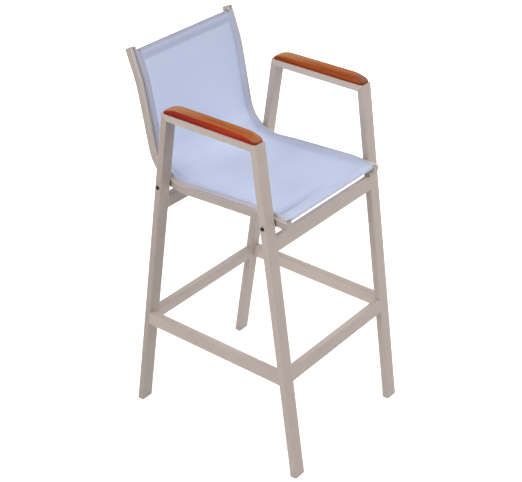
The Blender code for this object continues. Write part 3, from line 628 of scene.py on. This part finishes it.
def make_materials():
    coat = ((180, 167, 158), (187, 174, 165), (166, 152, 143))
    rail_coat = ((170, 158, 150), (176, 164, 156), (156, 143, 135))
    thread = ((0.35, 168, 174, 196), (0.65, 206, 212, 232))
    weld = ((0.3, 176, 163, 154), (0.7, 186, 173, 164))
    return {
        "coat": coat_material("powder_coat", coat),
        # Painted shade: a darker tone on the faces that look to the right and to the front
        "painted_shade_coat": coat_material("painted_shade_coat", coat, (167, 154, 146), (-1, -1, 0)),
        # Painted light: a lighter tone on the faces that look to the right
        "painted_light_coat": coat_material("painted_light_coat", coat, (200, 185, 174), (-1, 0, 0)),
        # Painted light: a lighter tone on the upward faces, which lie in shade under the sling
        "crossbar": coat_material("crossbar_painted_light_coat", coat, (214, 197, 184)),
        # Rail coat with painted light: a lighter tone on the faces that look forward and up, towards the
        # sling
        "rail": coat_material("rail_coat", rail_coat, (196, 186, 180), (0, -1, 1)),
        "fabric": fabric_material(),
        "teak": teak_material(),
        "plastic": moulded_material("taupe_plastic", screen(180, 167, 158), screen(174, 161, 152), 0.55),
        "vinyl": moulded_material("keder_vinyl", screen(214, 216, 222), screen(206, 208, 214), 0.5),
        "black": metal_material("black_oxide", screen(20, 20, 22), screen(52, 50, 50), 0.42, 0.6),
        "zinc": metal_material("zinc_plate", screen(172, 173, 176), screen(205, 206, 208), 0.35, 1.0),
        # Painted shade inside the keder grooves
        "groove": moulded_material("groove_shade", screen(140, 131, 125), screen(128, 120, 115), 0.7),
        # Painted shade: black for the gaps beside the legs and for the top plugs' grooves
        "painted_shade_black": moulded_material("black_painted_shade", screen(38, 36, 36), screen(30, 29, 29), 0.7),
        "thread": mottled_material("sewing_thread", 0.7, (2600.0, 2.0), 0.00005, thread),
        "weld": mottled_material("coated_weld", 0.45, (300.0, 3.0), 0.0001, weld),
    }


def round_shading(piece):
    """Joins a node's split corners for shading, and keeps its steeper edges sharp."""
    mesh = piece.data
    if "custom_normal" in mesh.attributes:
        mesh.attributes.remove(mesh.attributes["custom_normal"])
    mesh.shade_smooth()
    keys = [tuple(round(value, 6) for value in vertex.co) for vertex in mesh.vertices]
    normals = {}
    for polygon in mesh.polygons:
        for start, stop in polygon.edge_keys:
            normals.setdefault(frozenset((keys[start], keys[stop])), []).append(polygon.normal)
    sharp = []
    for edge in mesh.edges:
        found = normals.get(frozenset(keys[i] for i in edge.vertices), [])
        sharp.append(len(found) == 2 and found[0].angle(found[1], 0.0) > SHARP_ANGLE)
    attribute = mesh.attributes.get("sharp_edge") or mesh.attributes.new("sharp_edge", "BOOLEAN", "EDGE")
    attribute.data.foreach_set("value", sharp)
    weld = piece.modifiers.new("join_corners", "WELD")
    weld.merge_threshold = JOIN_DISTANCE
    even = piece.modifiers.new("even_normals", "WEIGHTED_NORMAL")
    even.keep_sharp = True


def dress_node(name, material):
    piece = NODES[name]
    piece.data.materials.clear()
    piece.data.materials.append(material)
    round_shading(piece)


def paint_groove(name, material):
    """Gives the inside of the keder groove another material, which paints the shade in it."""
    line = np.array([route(distance) for distance in np.linspace(0, ROUTE_END, ROUTE_PLACES)])
    mesh = NODES[name].data
    mesh.materials.append(material)
    for polygon in mesh.polygons:
        x, y, z = polygon.center
        near_y, near_z, heading = line[np.argmin((line[:, 0] - y) ** 2 + (line[:, 1] - z) ** 2)]
        offset = (z - near_z) * cos(heading) - (y - near_y) * sin(heading)
        inside = GROOVE_CENTRE / 2 < offset < RAIL_DEPTH / 2 - GROOVE_MOUTH
        if inside and abs(abs(x) - RAIL_X) < GROOVE_HALF:
            polygon.material_index = 1


def dress_nodes(materials):
    """Each carried-over node gets the material of the first kind that its name ends with."""
    kinds = (
        # Painted shade on the rear right leg and the rear seat crossbar
        (("rear_right_leg", "rear_seat_crossbar"), "painted_shade_coat"),
        # Painted light on the inner faces of the left stretcher and the left arm rail
        (("left_stretcher", "left_arm_rail"), "painted_light_coat"),
        (("leg", "arm_rail", "stretcher"), "coat"),
        # Painted light on the top of the front seat crossbar
        (("front_seat_crossbar",), "crossbar"),
        # Painted light on the rails' faces towards the sling
        (("sling_rail",), "rail"),
        (("armrest",), "teak"),
        (("glide", "front_plug", "top_plug", "rail_spacer"), "plastic"),
        (("rail_bolt",), "black"),
        (("nut_plate", "armrest_screw", "hem_rod"), "zinc"),
        (("keder_rod",), "vinyl"),
    )
    for name in NODES:
        for endings, material in kinds:
            if name.endswith(endings):
                dress_node(name, materials[material])
                break
        # Painted shade inside the grooves of the rails and the front plugs
        if name.endswith(("sling_rail", "front_plug")):
            paint_groove(name, materials["groove"])
        # Painted shade: the top plugs' grooves are black
        if name.endswith("top_plug"):
            paint_groove(name, materials["painted_shade_black"])


def new_piece(name, vertices, faces, material, slot, uvs=None):
    """A smooth mesh piece that rides on the stool."""
    mesh = bpy.data.meshes.new(name)
    mesh.from_pydata([tuple(map(float, vertex)) for vertex in vertices], [], faces)
    mesh.materials.append(material)
    if uvs is not None:
        layer = mesh.uv_layers.new(name="flat")
        corners = [loop.vertex_index for loop in mesh.loops]
        layer.data.foreach_set("uv", np.asarray(uvs, np.float32)[corners].ravel())
    mesh.shade_smooth()
    piece = bpy.data.objects.new(name, mesh)
    bpy.context.scene.collection.objects.link(piece)
    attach(piece, "root")
    return piece


def ring_faces(first, second, sides):
    """Faces between two rings of points, each given by the number of its first point."""
    afters = [(k + 1) % sides for k in range(sides)]
    return [(first + k, first + after, second + after, second + k) for k, after in enumerate(afters)]


def tube_faces(base, rings, sides):
    """Faces of a tube of rings with a cap at each end."""
    faces = []
    for first in range(base, base + (rings - 1) * sides, sides):
        faces += ring_faces(first, first + sides, sides)
    faces.append(tuple(base + k for k in reversed(range(sides))))
    faces.append(tuple(base + (rings - 1) * sides + k for k in range(sides)))
    return faces


def route(distance):
    """Place (y, z) and heading of the rails' centre line at a distance from its front end."""
    heading = FRONT_DROP - SEAT_RISE
    y = SHIFT_Y - LEG_REACH - FRONT_OVERHANG
    z = ELBOW_Z + SEAT_RUN * sin(SEAT_RISE) - FRONT_BEND_RADIUS * (cos(SEAT_RISE) - cos(heading))
    for length, curvature in STRETCHES:
        step = min(distance, length)
        if curvature:
            turned = heading + curvature * step
            y += (sin(turned) - sin(heading)) / curvature
            z -= (cos(turned) - cos(heading)) / curvature
            heading = turned
        else:
            y += step * cos(heading)
            z += step * sin(heading)
        distance -= step
    return y, z, heading


def leg_line(z):
    """Distance of a leg's centre line from the middle of the frame, at a height."""
    return FOOT_SPACING / 2 - z * TILT


def ease(value):
    """Smooth step from 0 to 1."""
    value = min(max(value, 0.0), 1.0)
    return value * value * (3 - 2 * value)


def bell(value):
    return exp(-value * value)


def sag(distance):
    """Rise of the sling's middle over its edges: it dips in seat and back and bridges the elbow."""
    knots = (
        (HEM_STATION, 0.0),
        (HEM_STATION + VALLEY_LENGTH, -VALLEY_SAG),
        (SEAT_START + SEAT_SAG_PLACE * (SEAT_END - SEAT_START), -SEAT_SAG),
        (ELBOW_MIDDLE, ELBOW_BRIDGE),
        ((ELBOW_END + BACK_BEND) / 2, -BACK_SAG),
        (ROUTE_END, -BACK_SAG / 2),
    )
    for (start, low), (stop, high) in zip(knots, knots[1:]):
        if distance <= stop:
            return low + (high - low) * ease((distance - start) / (stop - start))
    return knots[-1][1]


def folds(x, distance):
    """Pucker behind the front hem and crease across the elbow, each a valley with a ridge before it."""
    past_pucker = distance - PUCKER_STATION - PUCKER_SLANT * x
    pucker = PUCKER_RIDGE * bell((past_pucker + PUCKER_RIDGE_SHIFT) / PUCKER_RIDGE_WIDTH)
    pucker -= PUCKER_DEPTH * bell(past_pucker / PUCKER_WIDTH)
    past_crease = distance - CREASE_STATION
    crease = CREASE_RIDGE * bell((past_crease + CREASE_RIDGE_SHIFT) / CREASE_RIDGE_WIDTH)
    crease -= CREASE_DEPTH * bell(past_crease / CREASE_WIDTH)
    pucker *= ease((PUCKER_END - x) / PUCKER_RUN)
    crease *= ease((CREASE_END - x) / CREASE_RUN)
    return (pucker + crease) * ease((RAIL_INNER + FOLD_REACH - abs(x)) / FOLD_FADE)


def edge_roll(distance):
    """Height of the roll in which the fabric stands over the rails' grooves; it runs out at both ends."""
    free = ease((distance - HEM_STATION) / SEAT_ROLL_TAPER) * ease((TOP_EDGE - distance) / EDGE_ROLL_TAPER)
    crown = EDGE_ROLL + (SEAT_ROLL - EDGE_ROLL) * ease((SEAT_END - distance) / SEAT_ROLL_TAPER)
    return EDGE_ROLL_END + (crown - EDGE_ROLL_END) * free


def margin_dip(distance):
    """Depth by which seat and back hang below a shallow curve, so that the margins rise steeply."""
    ends = ease((distance - HEM_STATION) / MARGIN_TAPER) * ease((TOP_EDGE - distance) / MARGIN_TAPER)
    return MARGIN_DIP * ends * (1 - bell((distance - ELBOW_MIDDLE) / MARGIN_TAPER))


def sling_point(x, distance, height, fall=0.0):
    """Point of the sling: height is off the middle of the solid's thickness, towards the sitter, and fall is
    the share of the edge's roll that is lost again."""
    y, z, heading = route(distance)
    share = min(1.0, abs(x) / RAIL_INNER)
    rise = sag(distance)
    offset = LAY + height + folds(x, distance)
    offset += rise * (1 - share ** (BRIDGE_POWER if rise > 0 else SAG_POWER))
    offset -= margin_dip(distance) * (1 - share**MARGIN_POWER)
    offset += edge_roll(distance) * (ease((abs(x) - ROLL_X + EDGE_ROLL_RISE) / EDGE_ROLL_RISE) - fall)
    return Vector((x, y - offset * sin(heading), z + offset * cos(heading)))


def upper_layer():
    """Rows (distance, height, slope) of the upper layer, which rolls back over the top edge."""
    limits = [TOP_EDGE, TOP_EDGE - TOP_HEM, CREASE_ROWS_START, CREASE_ROWS_END]
    limits += [HEM_STATION + PUCKER_ROWS, HEM_STATION]
    rows = []
    for start, stop, count in zip(limits, limits[1:], ROW_COUNTS):
        for distance in np.linspace(start, stop, count, endpoint=False):
            past = max(0.0, distance - TOP_EDGE + TOP_ROLL) / TOP_ROLL
            slope = atan2(2 * TOP_ROLL_BACK * past, TOP_ROLL)
            rows.append((distance, LAYER - TOP_ROLL_BACK * past**2, slope))
    return rows


def top_fold(height, slope):
    """Rows (distance, height) round the top edge, from the hem's flap to the upper layer."""
    rows = []
    for angle in np.linspace(pi, 0, FOLD_ROWS)[1:-1]:
        ahead, up = FOLD_RADIUS * sin(angle), FOLD_RADIUS * (cos(angle) - 1)
        distance = TOP_EDGE + ahead * cos(slope) + up * sin(slope)
        rows.append((distance, height - ahead * sin(slope) + up * cos(slope)))
    return rows


def front_hem():
    """Rows (distance, height) round the front rod and back under the seat to the end of the hem's flap."""
    radius = HEM_ROLL + LAYER
    rows = []
    for angle in np.linspace(0, pi, HEM_ROLL_ROWS)[1:]:
        rows.append((HEM_STATION - radius * sin(angle), LAYER - radius * (1 - cos(angle))))
    low, high = LAYER - 2 * radius, LAYER - 2 * FOLD_RADIUS
    for past in np.linspace(0, FRONT_HEM, HEM_FLAP_ROWS)[1:]:
        rows.append((HEM_STATION + past, low + (high - low) * ease(past / FRONT_CLIMB)))
    return rows


def sling_profile():
    """The sling's side view as rows (distance, height, reach across), from hem flap to hem flap, and the
    number of the row at the top edge."""
    upper = upper_layer()
    flap = []
    for distance, height, slope in upper:
        if distance >= TOP_EDGE - TOP_HEM:
            flap.append((distance - 2 * FOLD_RADIUS * sin(slope), height - 2 * FOLD_RADIUS * cos(slope)))
    behind = flap[::-1] + top_fold(*upper[0][1:])
    rows = [(distance, height, ROLL_X) for distance, height in behind]
    rows += [(distance, height, RAIL_X) for distance, height, _ in upper]
    rows.append((HEM_STATION, LAYER, RAIL_X))
    rows += [(distance, height, HEM_ROLL_HALF) for distance, height in front_hem()]
    return rows, len(behind)


def sling_columns():
    """Places across the sling as (x, share of the roll fallen, drop into the groove, unrolled place)."""
    margin = np.linspace(HEM_ROLL_HALF, MIDDLE_HALF, MARGIN_COLUMNS, endpoint=False)
    inner = [*-margin, *np.linspace(-MIDDLE_HALF, MIDDLE_HALF, MIDDLE_COLUMNS), *margin[::-1]]
    outer = [(x, 0.0, 0.0, x) for x in np.linspace(HEM_ROLL_HALF + COLUMN_GAP, ROLL_X, ROLL_COLUMNS)]
    unrolled, last = ROLL_X, (ROLL_X, EDGE_ROLL)
    for angle in np.linspace(0, pi / 2, ROLL_COLUMNS)[1:]:
        here = (ROLL_X + EDGE_ROLL_FALL * sin(angle), EDGE_ROLL * cos(angle))
        unrolled += hypot(here[0] - last[0], here[1] - last[1])
        outer.append((here[0], 1 - cos(angle), 0.0, unrolled))
        last = here
    outer.append((TUCK_X, 1.0, TUCK_DEPTH, unrolled + TUCK_DEPTH))
    middle = [(x, 0.0, 0.0, x) for x in inner]
    return [(-x, fall, drop, -place) for x, fall, drop, place in reversed(outer)] + middle + outer


def sheet_mesh(rows, columns, start):
    """Vertices, faces, flat places and length of a sheet; points past a row's reach are left out."""
    lengths = [0.0]
    for here, there in zip(rows, rows[1:]):
        lengths.append(lengths[-1] + hypot(there[0] - here[0], there[1] - here[1]))
    vertices, uvs, index = [], [], {}
    for i, (distance, height, reach) in enumerate(rows):
        for j, (x, fall, drop, unrolled) in enumerate(columns):
            if abs(unrolled) <= reach + TOLERANCE or reach >= RAIL_X:
                index[i, j] = len(vertices)
                vertices.append(sling_point(x, distance, height - drop, fall))
                uvs.append((unrolled, lengths[i] - lengths[start]))
    faces = []
    for i in range(len(rows) - 1):
        for j in range(len(columns) - 1):
            corners = [index.get(key) for key in ((i, j), (i + 1, j), (i + 1, j + 1), (i, j + 1))]
            if None not in corners:
                faces.append(corners)
    return vertices, faces, uvs, lengths[-1]


def new_sheet(name, vertices, faces, uvs, material):
    """A piece of fabric with its thickness."""
    piece = new_piece(name, vertices, faces, material, "sling_fabric", uvs)
    thick = piece.modifiers.new("fabric", "SOLIDIFY")
    thick.thickness = FABRIC
    thick.offset = 0
    thick.use_even_offset = True
    return piece


def make_pockets(rows, material):
    """The second layer of the side pockets, under the upper one."""
    pocket = []
    for distance, _, _ in rows:
        if POCKET_START < distance < TOP_EDGE - TOP_HEM - POCKET_GAP:
            pocket.append((distance, LAYER - 2 * FOLD_RADIUS, RAIL_X))
    pieces = []
    for side_name, side in SIDES.items():
        places = sorted(side * x for x in np.linspace(ROLL_X, POCKET_EDGE, POCKET_COLUMNS))
        band = [(x, 0.0, 0.0, x) for x in places]
        vertices, faces, uvs, _ = sheet_mesh(pocket, band, 0)
        pieces.append(new_sheet(f"{side_name}_pocket_layer", vertices, faces, uvs, material))
    return pieces


def make_sling(materials):
    """The sling with its hems, side pockets and stitches."""
    rows, start = sling_profile()
    columns = sling_columns()
    vertices, faces, uvs, length = sheet_mesh(rows, columns, start)
    sling = new_sheet("sling_fabric", vertices, faces, uvs, materials["fabric"])
    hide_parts("sling")
    pieces = make_pockets(rows[start:], materials["fabric"]) + make_stitches(materials["thread"])


def stitch_mesh(path):
    """Short rounded stitches along a path of (place, normal)."""
    places = np.array([place for place, _ in path])
    normals = np.array([normal for _, normal in path])
    along = np.concatenate([[0], np.cumsum(np.linalg.norm(np.diff(places, axis=0), axis=1))])
    count = int(along[-1] / STITCH_PITCH)
    turns = [2 * pi * k / STITCH_SIDES for k in range(STITCH_SIDES)]
    vertices, faces = [], []
    for i in range(count):
        middle = (i + 0.5) * along[-1] / count
        centre, ahead = (
            np.array([np.interp(at, along, places[:, k]) for k in range(3)])
            for at in (middle, middle + DIRECTION_STEP)
        )
        forward = (ahead - centre) / np.linalg.norm(ahead - centre)
        normal = np.array([np.interp(middle, along, normals[:, k]) for k in range(3)])
        across = np.cross(normal, forward)
        faces += tube_faces(len(vertices), len(STITCH_PROFILE), STITCH_SIDES)
        for reach, width in STITCH_PROFILE:
            for turn in turns:
                offset = (across * cos(turn) + normal * sin(turn)) * width * STITCH_RADIUS
                vertices.append(centre + forward * reach * STITCH_LENGTH + offset)
    return vertices, faces


def seam_path(points):
    """Places and normals on the upper face of the sling."""
    top = LAYER + FABRIC / 2
    path = []
    for x, distance in points:
        here = sling_point(x, distance, top)
        along = sling_point(x, distance + NORMAL_STEP, top) - here
        across = sling_point(x + NORMAL_STEP, distance, top) - here
        path.append((here, across.cross(along).normalized()))
    return path


def make_stitches(material):
    """Sewn rows of both hems and of the side pockets."""
    half = HEM_ROLL_HALF - HEM_SEAM_END
    low, high = HEM_STATION + FRONT_HEM, TOP_EDGE - TOP_HEM
    across = np.linspace(-half, half, HEM_SEAM_PLACES)
    along = np.linspace(low + POCKET_SEAM_END, high - POCKET_SEAM_END, POCKET_SEAM_PLACES)
    rows = {
        "top_hem_stitches": [(x, TOP_EDGE - TOP_STITCHES) for x in across],
        "top_hem_lower_stitches": [(x, high + STITCH_INSET) for x in across],
        "front_hem_stitches": [(x, low - STITCH_INSET) for x in across],
    }
    for side_name, side in SIDES.items():
        place = side * (POCKET_EDGE + STITCH_INSET)
        rows[f"{side_name}_pocket_stitches"] = [(place, distance) for distance in along]
    pieces = []
    for name, points in rows.items():
        pieces.append(new_piece(name, *stitch_mesh(seam_path(points)), material, "sling_fabric"))
    return pieces


def round_box(width, height, radius, step):
    """Points of a rectangle with round corners, about a step apart."""
    x, y = width / 2 - radius, height / 2 - radius
    points = []
    for corner_x, corner_y, start in ((x, y, 0), (-x, y, pi / 2), (-x, -y, pi), (x, -y, 3 * pi / 2)):
        for angle in np.linspace(start, start + pi / 2, CORNER_POINTS):
            points.append((corner_x + radius * cos(angle), corner_y + radius * sin(angle)))
    dense = []
    for (x0, y0), (x1, y1) in zip(points, points[1:] + points[:1]):
        count = max(1, round(hypot(x1 - x0, y1 - y0) / step))
        dense += [(x0 + (x1 - x0) * i / count, y0 + (y1 - y0) * i / count) for i in range(count)]
    return dense


def bead_mesh(points, heights, widths):
    """Closed oval bead along points, with a half height and a half width at each."""
    places = np.array(points)
    tangents = np.roll(places, -1, 0) - np.roll(places, 1, 0)
    tangents /= np.linalg.norm(tangents, axis=1)[:, None]
    middle = places.mean(0)
    vertices, faces = [], []
    for i, (place, tangent) in enumerate(zip(places, tangents)):
        outward = place - middle
        outward -= tangent * outward.dot(tangent)
        outward /= np.linalg.norm(outward)
        aside = np.cross(tangent, outward)
        for k in range(BEAD_SIDES):
            turn = 2 * pi * k / BEAD_SIDES
            vertices.append(place + heights[i] * cos(turn) * outward + widths[i] * sin(turn) * aside)
        faces += ring_faces(i * BEAD_SIDES, (i + 1) % len(places) * BEAD_SIDES, BEAD_SIDES)
    return vertices, faces


def moved_inwards(across, up, depth):
    """A point of the bars' round outline, moved inwards and square to it."""
    flat_x, flat_y = TUBE_NARROW / 2 - TUBE_CORNER, TUBE_WIDE / 2 - TUBE_CORNER
    core_x, core_y = max(-flat_x, min(across, flat_x)), max(-flat_y, min(up, flat_y))
    share = depth / TUBE_CORNER
    return across - (across - core_x) * share, up - (up - core_y) * share


def round_corner(reach, size):
    """Share of a tube's round corner that a reach from its middle has passed."""
    return ease((reach - size / 2 + TUBE_CORNER) / TUBE_CORNER)


def weld_size(free, index):
    """Half height, half width, depth under the bar's face and shift into the leg of a weld: a rippled bead
    where it lies free, a ground filling of the leg's round corner where bar and leg are flush."""
    ripple = 1 + WELD_RIPPLE_SHARE * free * sin(2 * pi * index * WELD_STEP / WELD_RIPPLE)
    height = (FILLER_HEIGHT + (WELD_BEAD - FILLER_HEIGHT) * free) * ripple
    width = (FILLER_WIDTH + (WELD_BEAD - FILLER_WIDTH) * free) * ripple
    flush_depth = FILLER_HEIGHT - FILLER_PROUD
    depth = flush_depth + (WELD_SUNK - flush_depth) * free
    return height, width, depth, FILLER_SHIFT * (1 - free)


def make_weld(name, freedom, place, material):
    """Weld round a bar's outline: freedom(across, up) is 1 where it lies free of the leg's faces, and
    place(across, up, shift) is a point of it."""
    points, heights, widths = [], [], []
    for i, (across, up) in enumerate(round_box(TUBE_NARROW, TUBE_WIDE, TUBE_CORNER, WELD_STEP)):
        height, width, depth, shift = weld_size(freedom(across, up), i)
        points.append(place(*moved_inwards(across, up, depth), shift))
        heights.append(height)
        widths.append(width)
    new_piece(name, *bead_mesh(points, heights, widths), material, "frame_coat")


def make_cross_welds(material):
    """Welds of the seat's crossbars and of the front and rear stretchers."""

    def freedom(across, up):
        return round_corner(abs(up), TUBE_WIDE)

    for bar_name, height in (("seat_crossbar", CROSSBAR_HEIGHT), ("stretcher", STRETCHER_HEIGHT)):
        for end_name, end in ENDS.items():
            turn = Matrix.Rotation(end * LEG_ANGLE, 3, "X")
            for side_name, side in SIDES.items():
                centre = Vector((side * CLEAR_WIDTH / 2, end * leg_line(height) + SHIFT_Y, height))

                def place(across, up, shift):
                    return centre + turn @ Vector((side * shift, across, up))

                make_weld(f"{end_name}_{side_name}_{bar_name}_weld", freedom, place, material)


def make_side_welds(material):
    """Welds of the side stretchers."""
    half = leg_line(STRETCHER_HEIGHT) - (TUBE_NARROW / 2 + GAP / 2) / cos(LEG_ANGLE)
    for side_name, side in SIDES.items():
        middle = side * (FRAME_WIDTH - TUBE_NARROW) / 2

        def freedom(across, up):
            return 1 - round_corner(side * across, TUBE_NARROW)

        for end_name, end in ENDS.items():

            def place(across, up, shift):
                y = end * (half + shift - TILT * up) + SHIFT_Y
                return Vector((middle + across, y, STRETCHER_HEIGHT + up))

            make_weld(f"{end_name}_{side_name}_side_weld", freedom, place, material)


def make_mitre_seams(material):
    """Flush seams at the arms' mitres."""
    middle = ARM_TOP - TUBE_NARROW / 2
    slope = (1 - sin(LEG_ANGLE)) / cos(LEG_ANGLE)
    inset = 1 - (SEAM_RADIUS - SEAM_PROUD) / (TUBE_NARROW / 2)
    inset_across = 1 - (SEAM_RADIUS - SEAM_PROUD) / (TUBE_WIDE / 2)
    outline = round_box(TUBE_WIDE, TUBE_NARROW, TUBE_CORNER, SEAM_STEP)
    radii = [SEAM_RADIUS] * len(outline)
    for side_name, side in SIDES.items():
        for end_name, end in ENDS.items():
            points = []
            for across, up in outline:
                y = end * (leg_line(middle) - GAP / 2 + slope * up * inset) + SHIFT_Y
                points.append(Vector((side * LEG_X + across * inset_across, y, middle + up * inset)))
            name = f"{end_name}_{side_name}_mitre_seam"
            new_piece(name, *bead_mesh(points, radii, radii), material, "frame_coat")


def gap_shade_mesh(centre, turn, aside):
    """Thin dark strip of painted shade, with round edges, along a leg's side."""
    outline = round_box(SPACER_THICKNESS - 2 * GAP_SHADE_CLEARANCE, GAP_SHADE_WIDTH, GAP_SHADE_CORNER, GAP_SHADE_STEP)
    vertices = []
    for reach, size in GAP_SHADE_RINGS:
        for x, y in outline:
            vertices.append(centre + turn @ Vector((x * size, aside + y * size, reach * GAP_SHADE_LENGTH / 2)))
    return vertices, tube_faces(0, len(GAP_SHADE_RINGS), len(outline))


def make_gap_shades(material):
    """Dark strips of painted shade that show in the gaps between legs and rails, at both edges of each leg.
    """
    for end_name, end in ENDS.items():
        turn = Matrix.Rotation(end * LEG_ANGLE, 3, "X")
        for side_name, side in SIDES.items():
            low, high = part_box(f"{end_name}_{side_name}_rail_bolt")
            middle = (low + high) / 2
            centre = Vector((side * (CLEAR_WIDTH / 2 - SPACER_THICKNESS / 2), middle.y, middle.z))
            for edge_name, edge in ENDS.items():
                aside = edge * (TUBE_NARROW / 2 + GAP_SHADE_WIDTH / 2 - GAP_SHADE_OVERLAP)
                name = f"{end_name}_{side_name}_rail_lip_{edge_name}"
                new_piece(name, *gap_shade_mesh(centre, turn, aside), material, "black_bolt")


def make_camera():
    """Camera at the photograph's place, with its focal length and slight turn."""
    forward = CAMERA_FORWARD.normalized()
    level = forward.cross(Vector((0, 0, 1))).normalized()
    upward = level.cross(forward)
    right = level * cos(CAMERA_ROLL) + upward * sin(CAMERA_ROLL)
    up = upward * cos(CAMERA_ROLL) - level * sin(CAMERA_ROLL)
    data = bpy.data.cameras.new("camera")
    data.sensor_fit = "HORIZONTAL"
    data.sensor_width = SENSOR_WIDTH
    data.lens = FOCAL_PIXELS / IMAGE_WIDTH * SENSOR_WIDTH
    data.clip_end = CAMERA_REACH
    camera = bpy.data.objects.new("camera", data)
    turn = Matrix((right, up, -forward)).transposed().to_4x4()
    camera.matrix_world = Matrix.Translation(CAMERA_PLACE + Vector((0, SHIFT_Y, 0))) @ turn
    bpy.context.scene.collection.objects.link(camera)
    bpy.context.scene.camera = camera


def make_lamp(name, direction, level):
    """Soft square lamp that looks at the stool from a direction; at level 1 it shows a colour as written."""
    data = bpy.data.lights.new(name, "AREA")
    data.shape = "SQUARE"
    data.size = LAMP_SIZE
    data.energy = level * (pi * LAMP_DISTANCE) ** 2
    lamp = bpy.data.objects.new(name, data)
    lamp.location = LAMP_AIM + Vector(direction).normalized() * LAMP_DISTANCE
    lamp.rotation_euler = (LAMP_AIM - lamp.location).to_track_quat("-Z", "Y").to_euler()
    bpy.context.scene.collection.objects.link(lamp)


def seen_directly(graph):
    """Node value that is 1 for rays from the camera and for mirrored or transmitted ones."""
    path = graph.add("ShaderNodeLightPath").outputs
    seen = graph.math("MAXIMUM", path["Is Camera Ray"], path["Is Glossy Ray"])
    return graph.math("MAXIMUM", seen, path["Is Transmission Ray"])


def make_world():
    """White where it is seen, and a dim light from all sides."""
    world = bpy.data.worlds.new("studio")
    bpy.context.scene.world = world
    graph = Graph(world)
    background = graph.tree.nodes["Background"].inputs
    background["Color"].default_value = WHITE
    graph.give(background["Strength"], graph.share(seen_directly(graph), 0.0, 1.0, AMBIENT, 1.0))


def make_floor():
    """Plain pale floor that keeps the shadow."""
    mesh = bpy.data.meshes.new("floor")
    signs = ((-1, -1), (1, -1), (1, 1), (-1, 1))
    corners = [(x * FLOOR_REACH, y * FLOOR_REACH, -FLOOR_DROP) for x, y in signs]
    mesh.from_pydata(corners, [], [(0, 1, 2, 3)])
    floor = bpy.data.objects.new("floor", mesh)
    bpy.context.scene.collection.objects.link(floor)
    floor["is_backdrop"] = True
    graph = Material("pale_floor", roughness=0.9, specular=0.0)
    away = graph.add("ShaderNodeVectorMath", {0: graph.place()}, operation="LENGTH").outputs["Value"]
    rise = graph.share(away, GLOW_START, GLOW_END, FLOOR_GLOW, 1.0)
    graph.shader["Base Color"].default_value = screen(240, 240, 240)
    graph.shader["Emission Color"].default_value = WHITE
    graph.give(graph.shader["Emission Strength"], graph.times(seen_directly(graph), rise))
    mesh.materials.append(graph.material)


def make_studio():
    bpy.context.scene.view_settings.view_transform = "Standard"
    make_camera()
    make_world()
    for name, direction, level in LAMPS:
        make_lamp(name, direction, level)
    make_floor()


def main():
    make_studio()
    materials = make_materials()
    dress_nodes(materials)
    make_sling(materials)
    make_cross_welds(materials["weld"])
    make_side_welds(materials["weld"])
    make_mitre_seams(materials["weld"])
    # Painted shade in the gaps between legs and rails
    make_gap_shades(materials["painted_shade_black"])


def write_sizes():
    """The solids' box and the dressed model's box, as plain numbers."""
    boxes = {"cad": CAD_BOX, "visual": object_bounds()}
    {name: [list(corner) for corner in box] for name, box in boxes.items()}


main()
write_sizes()
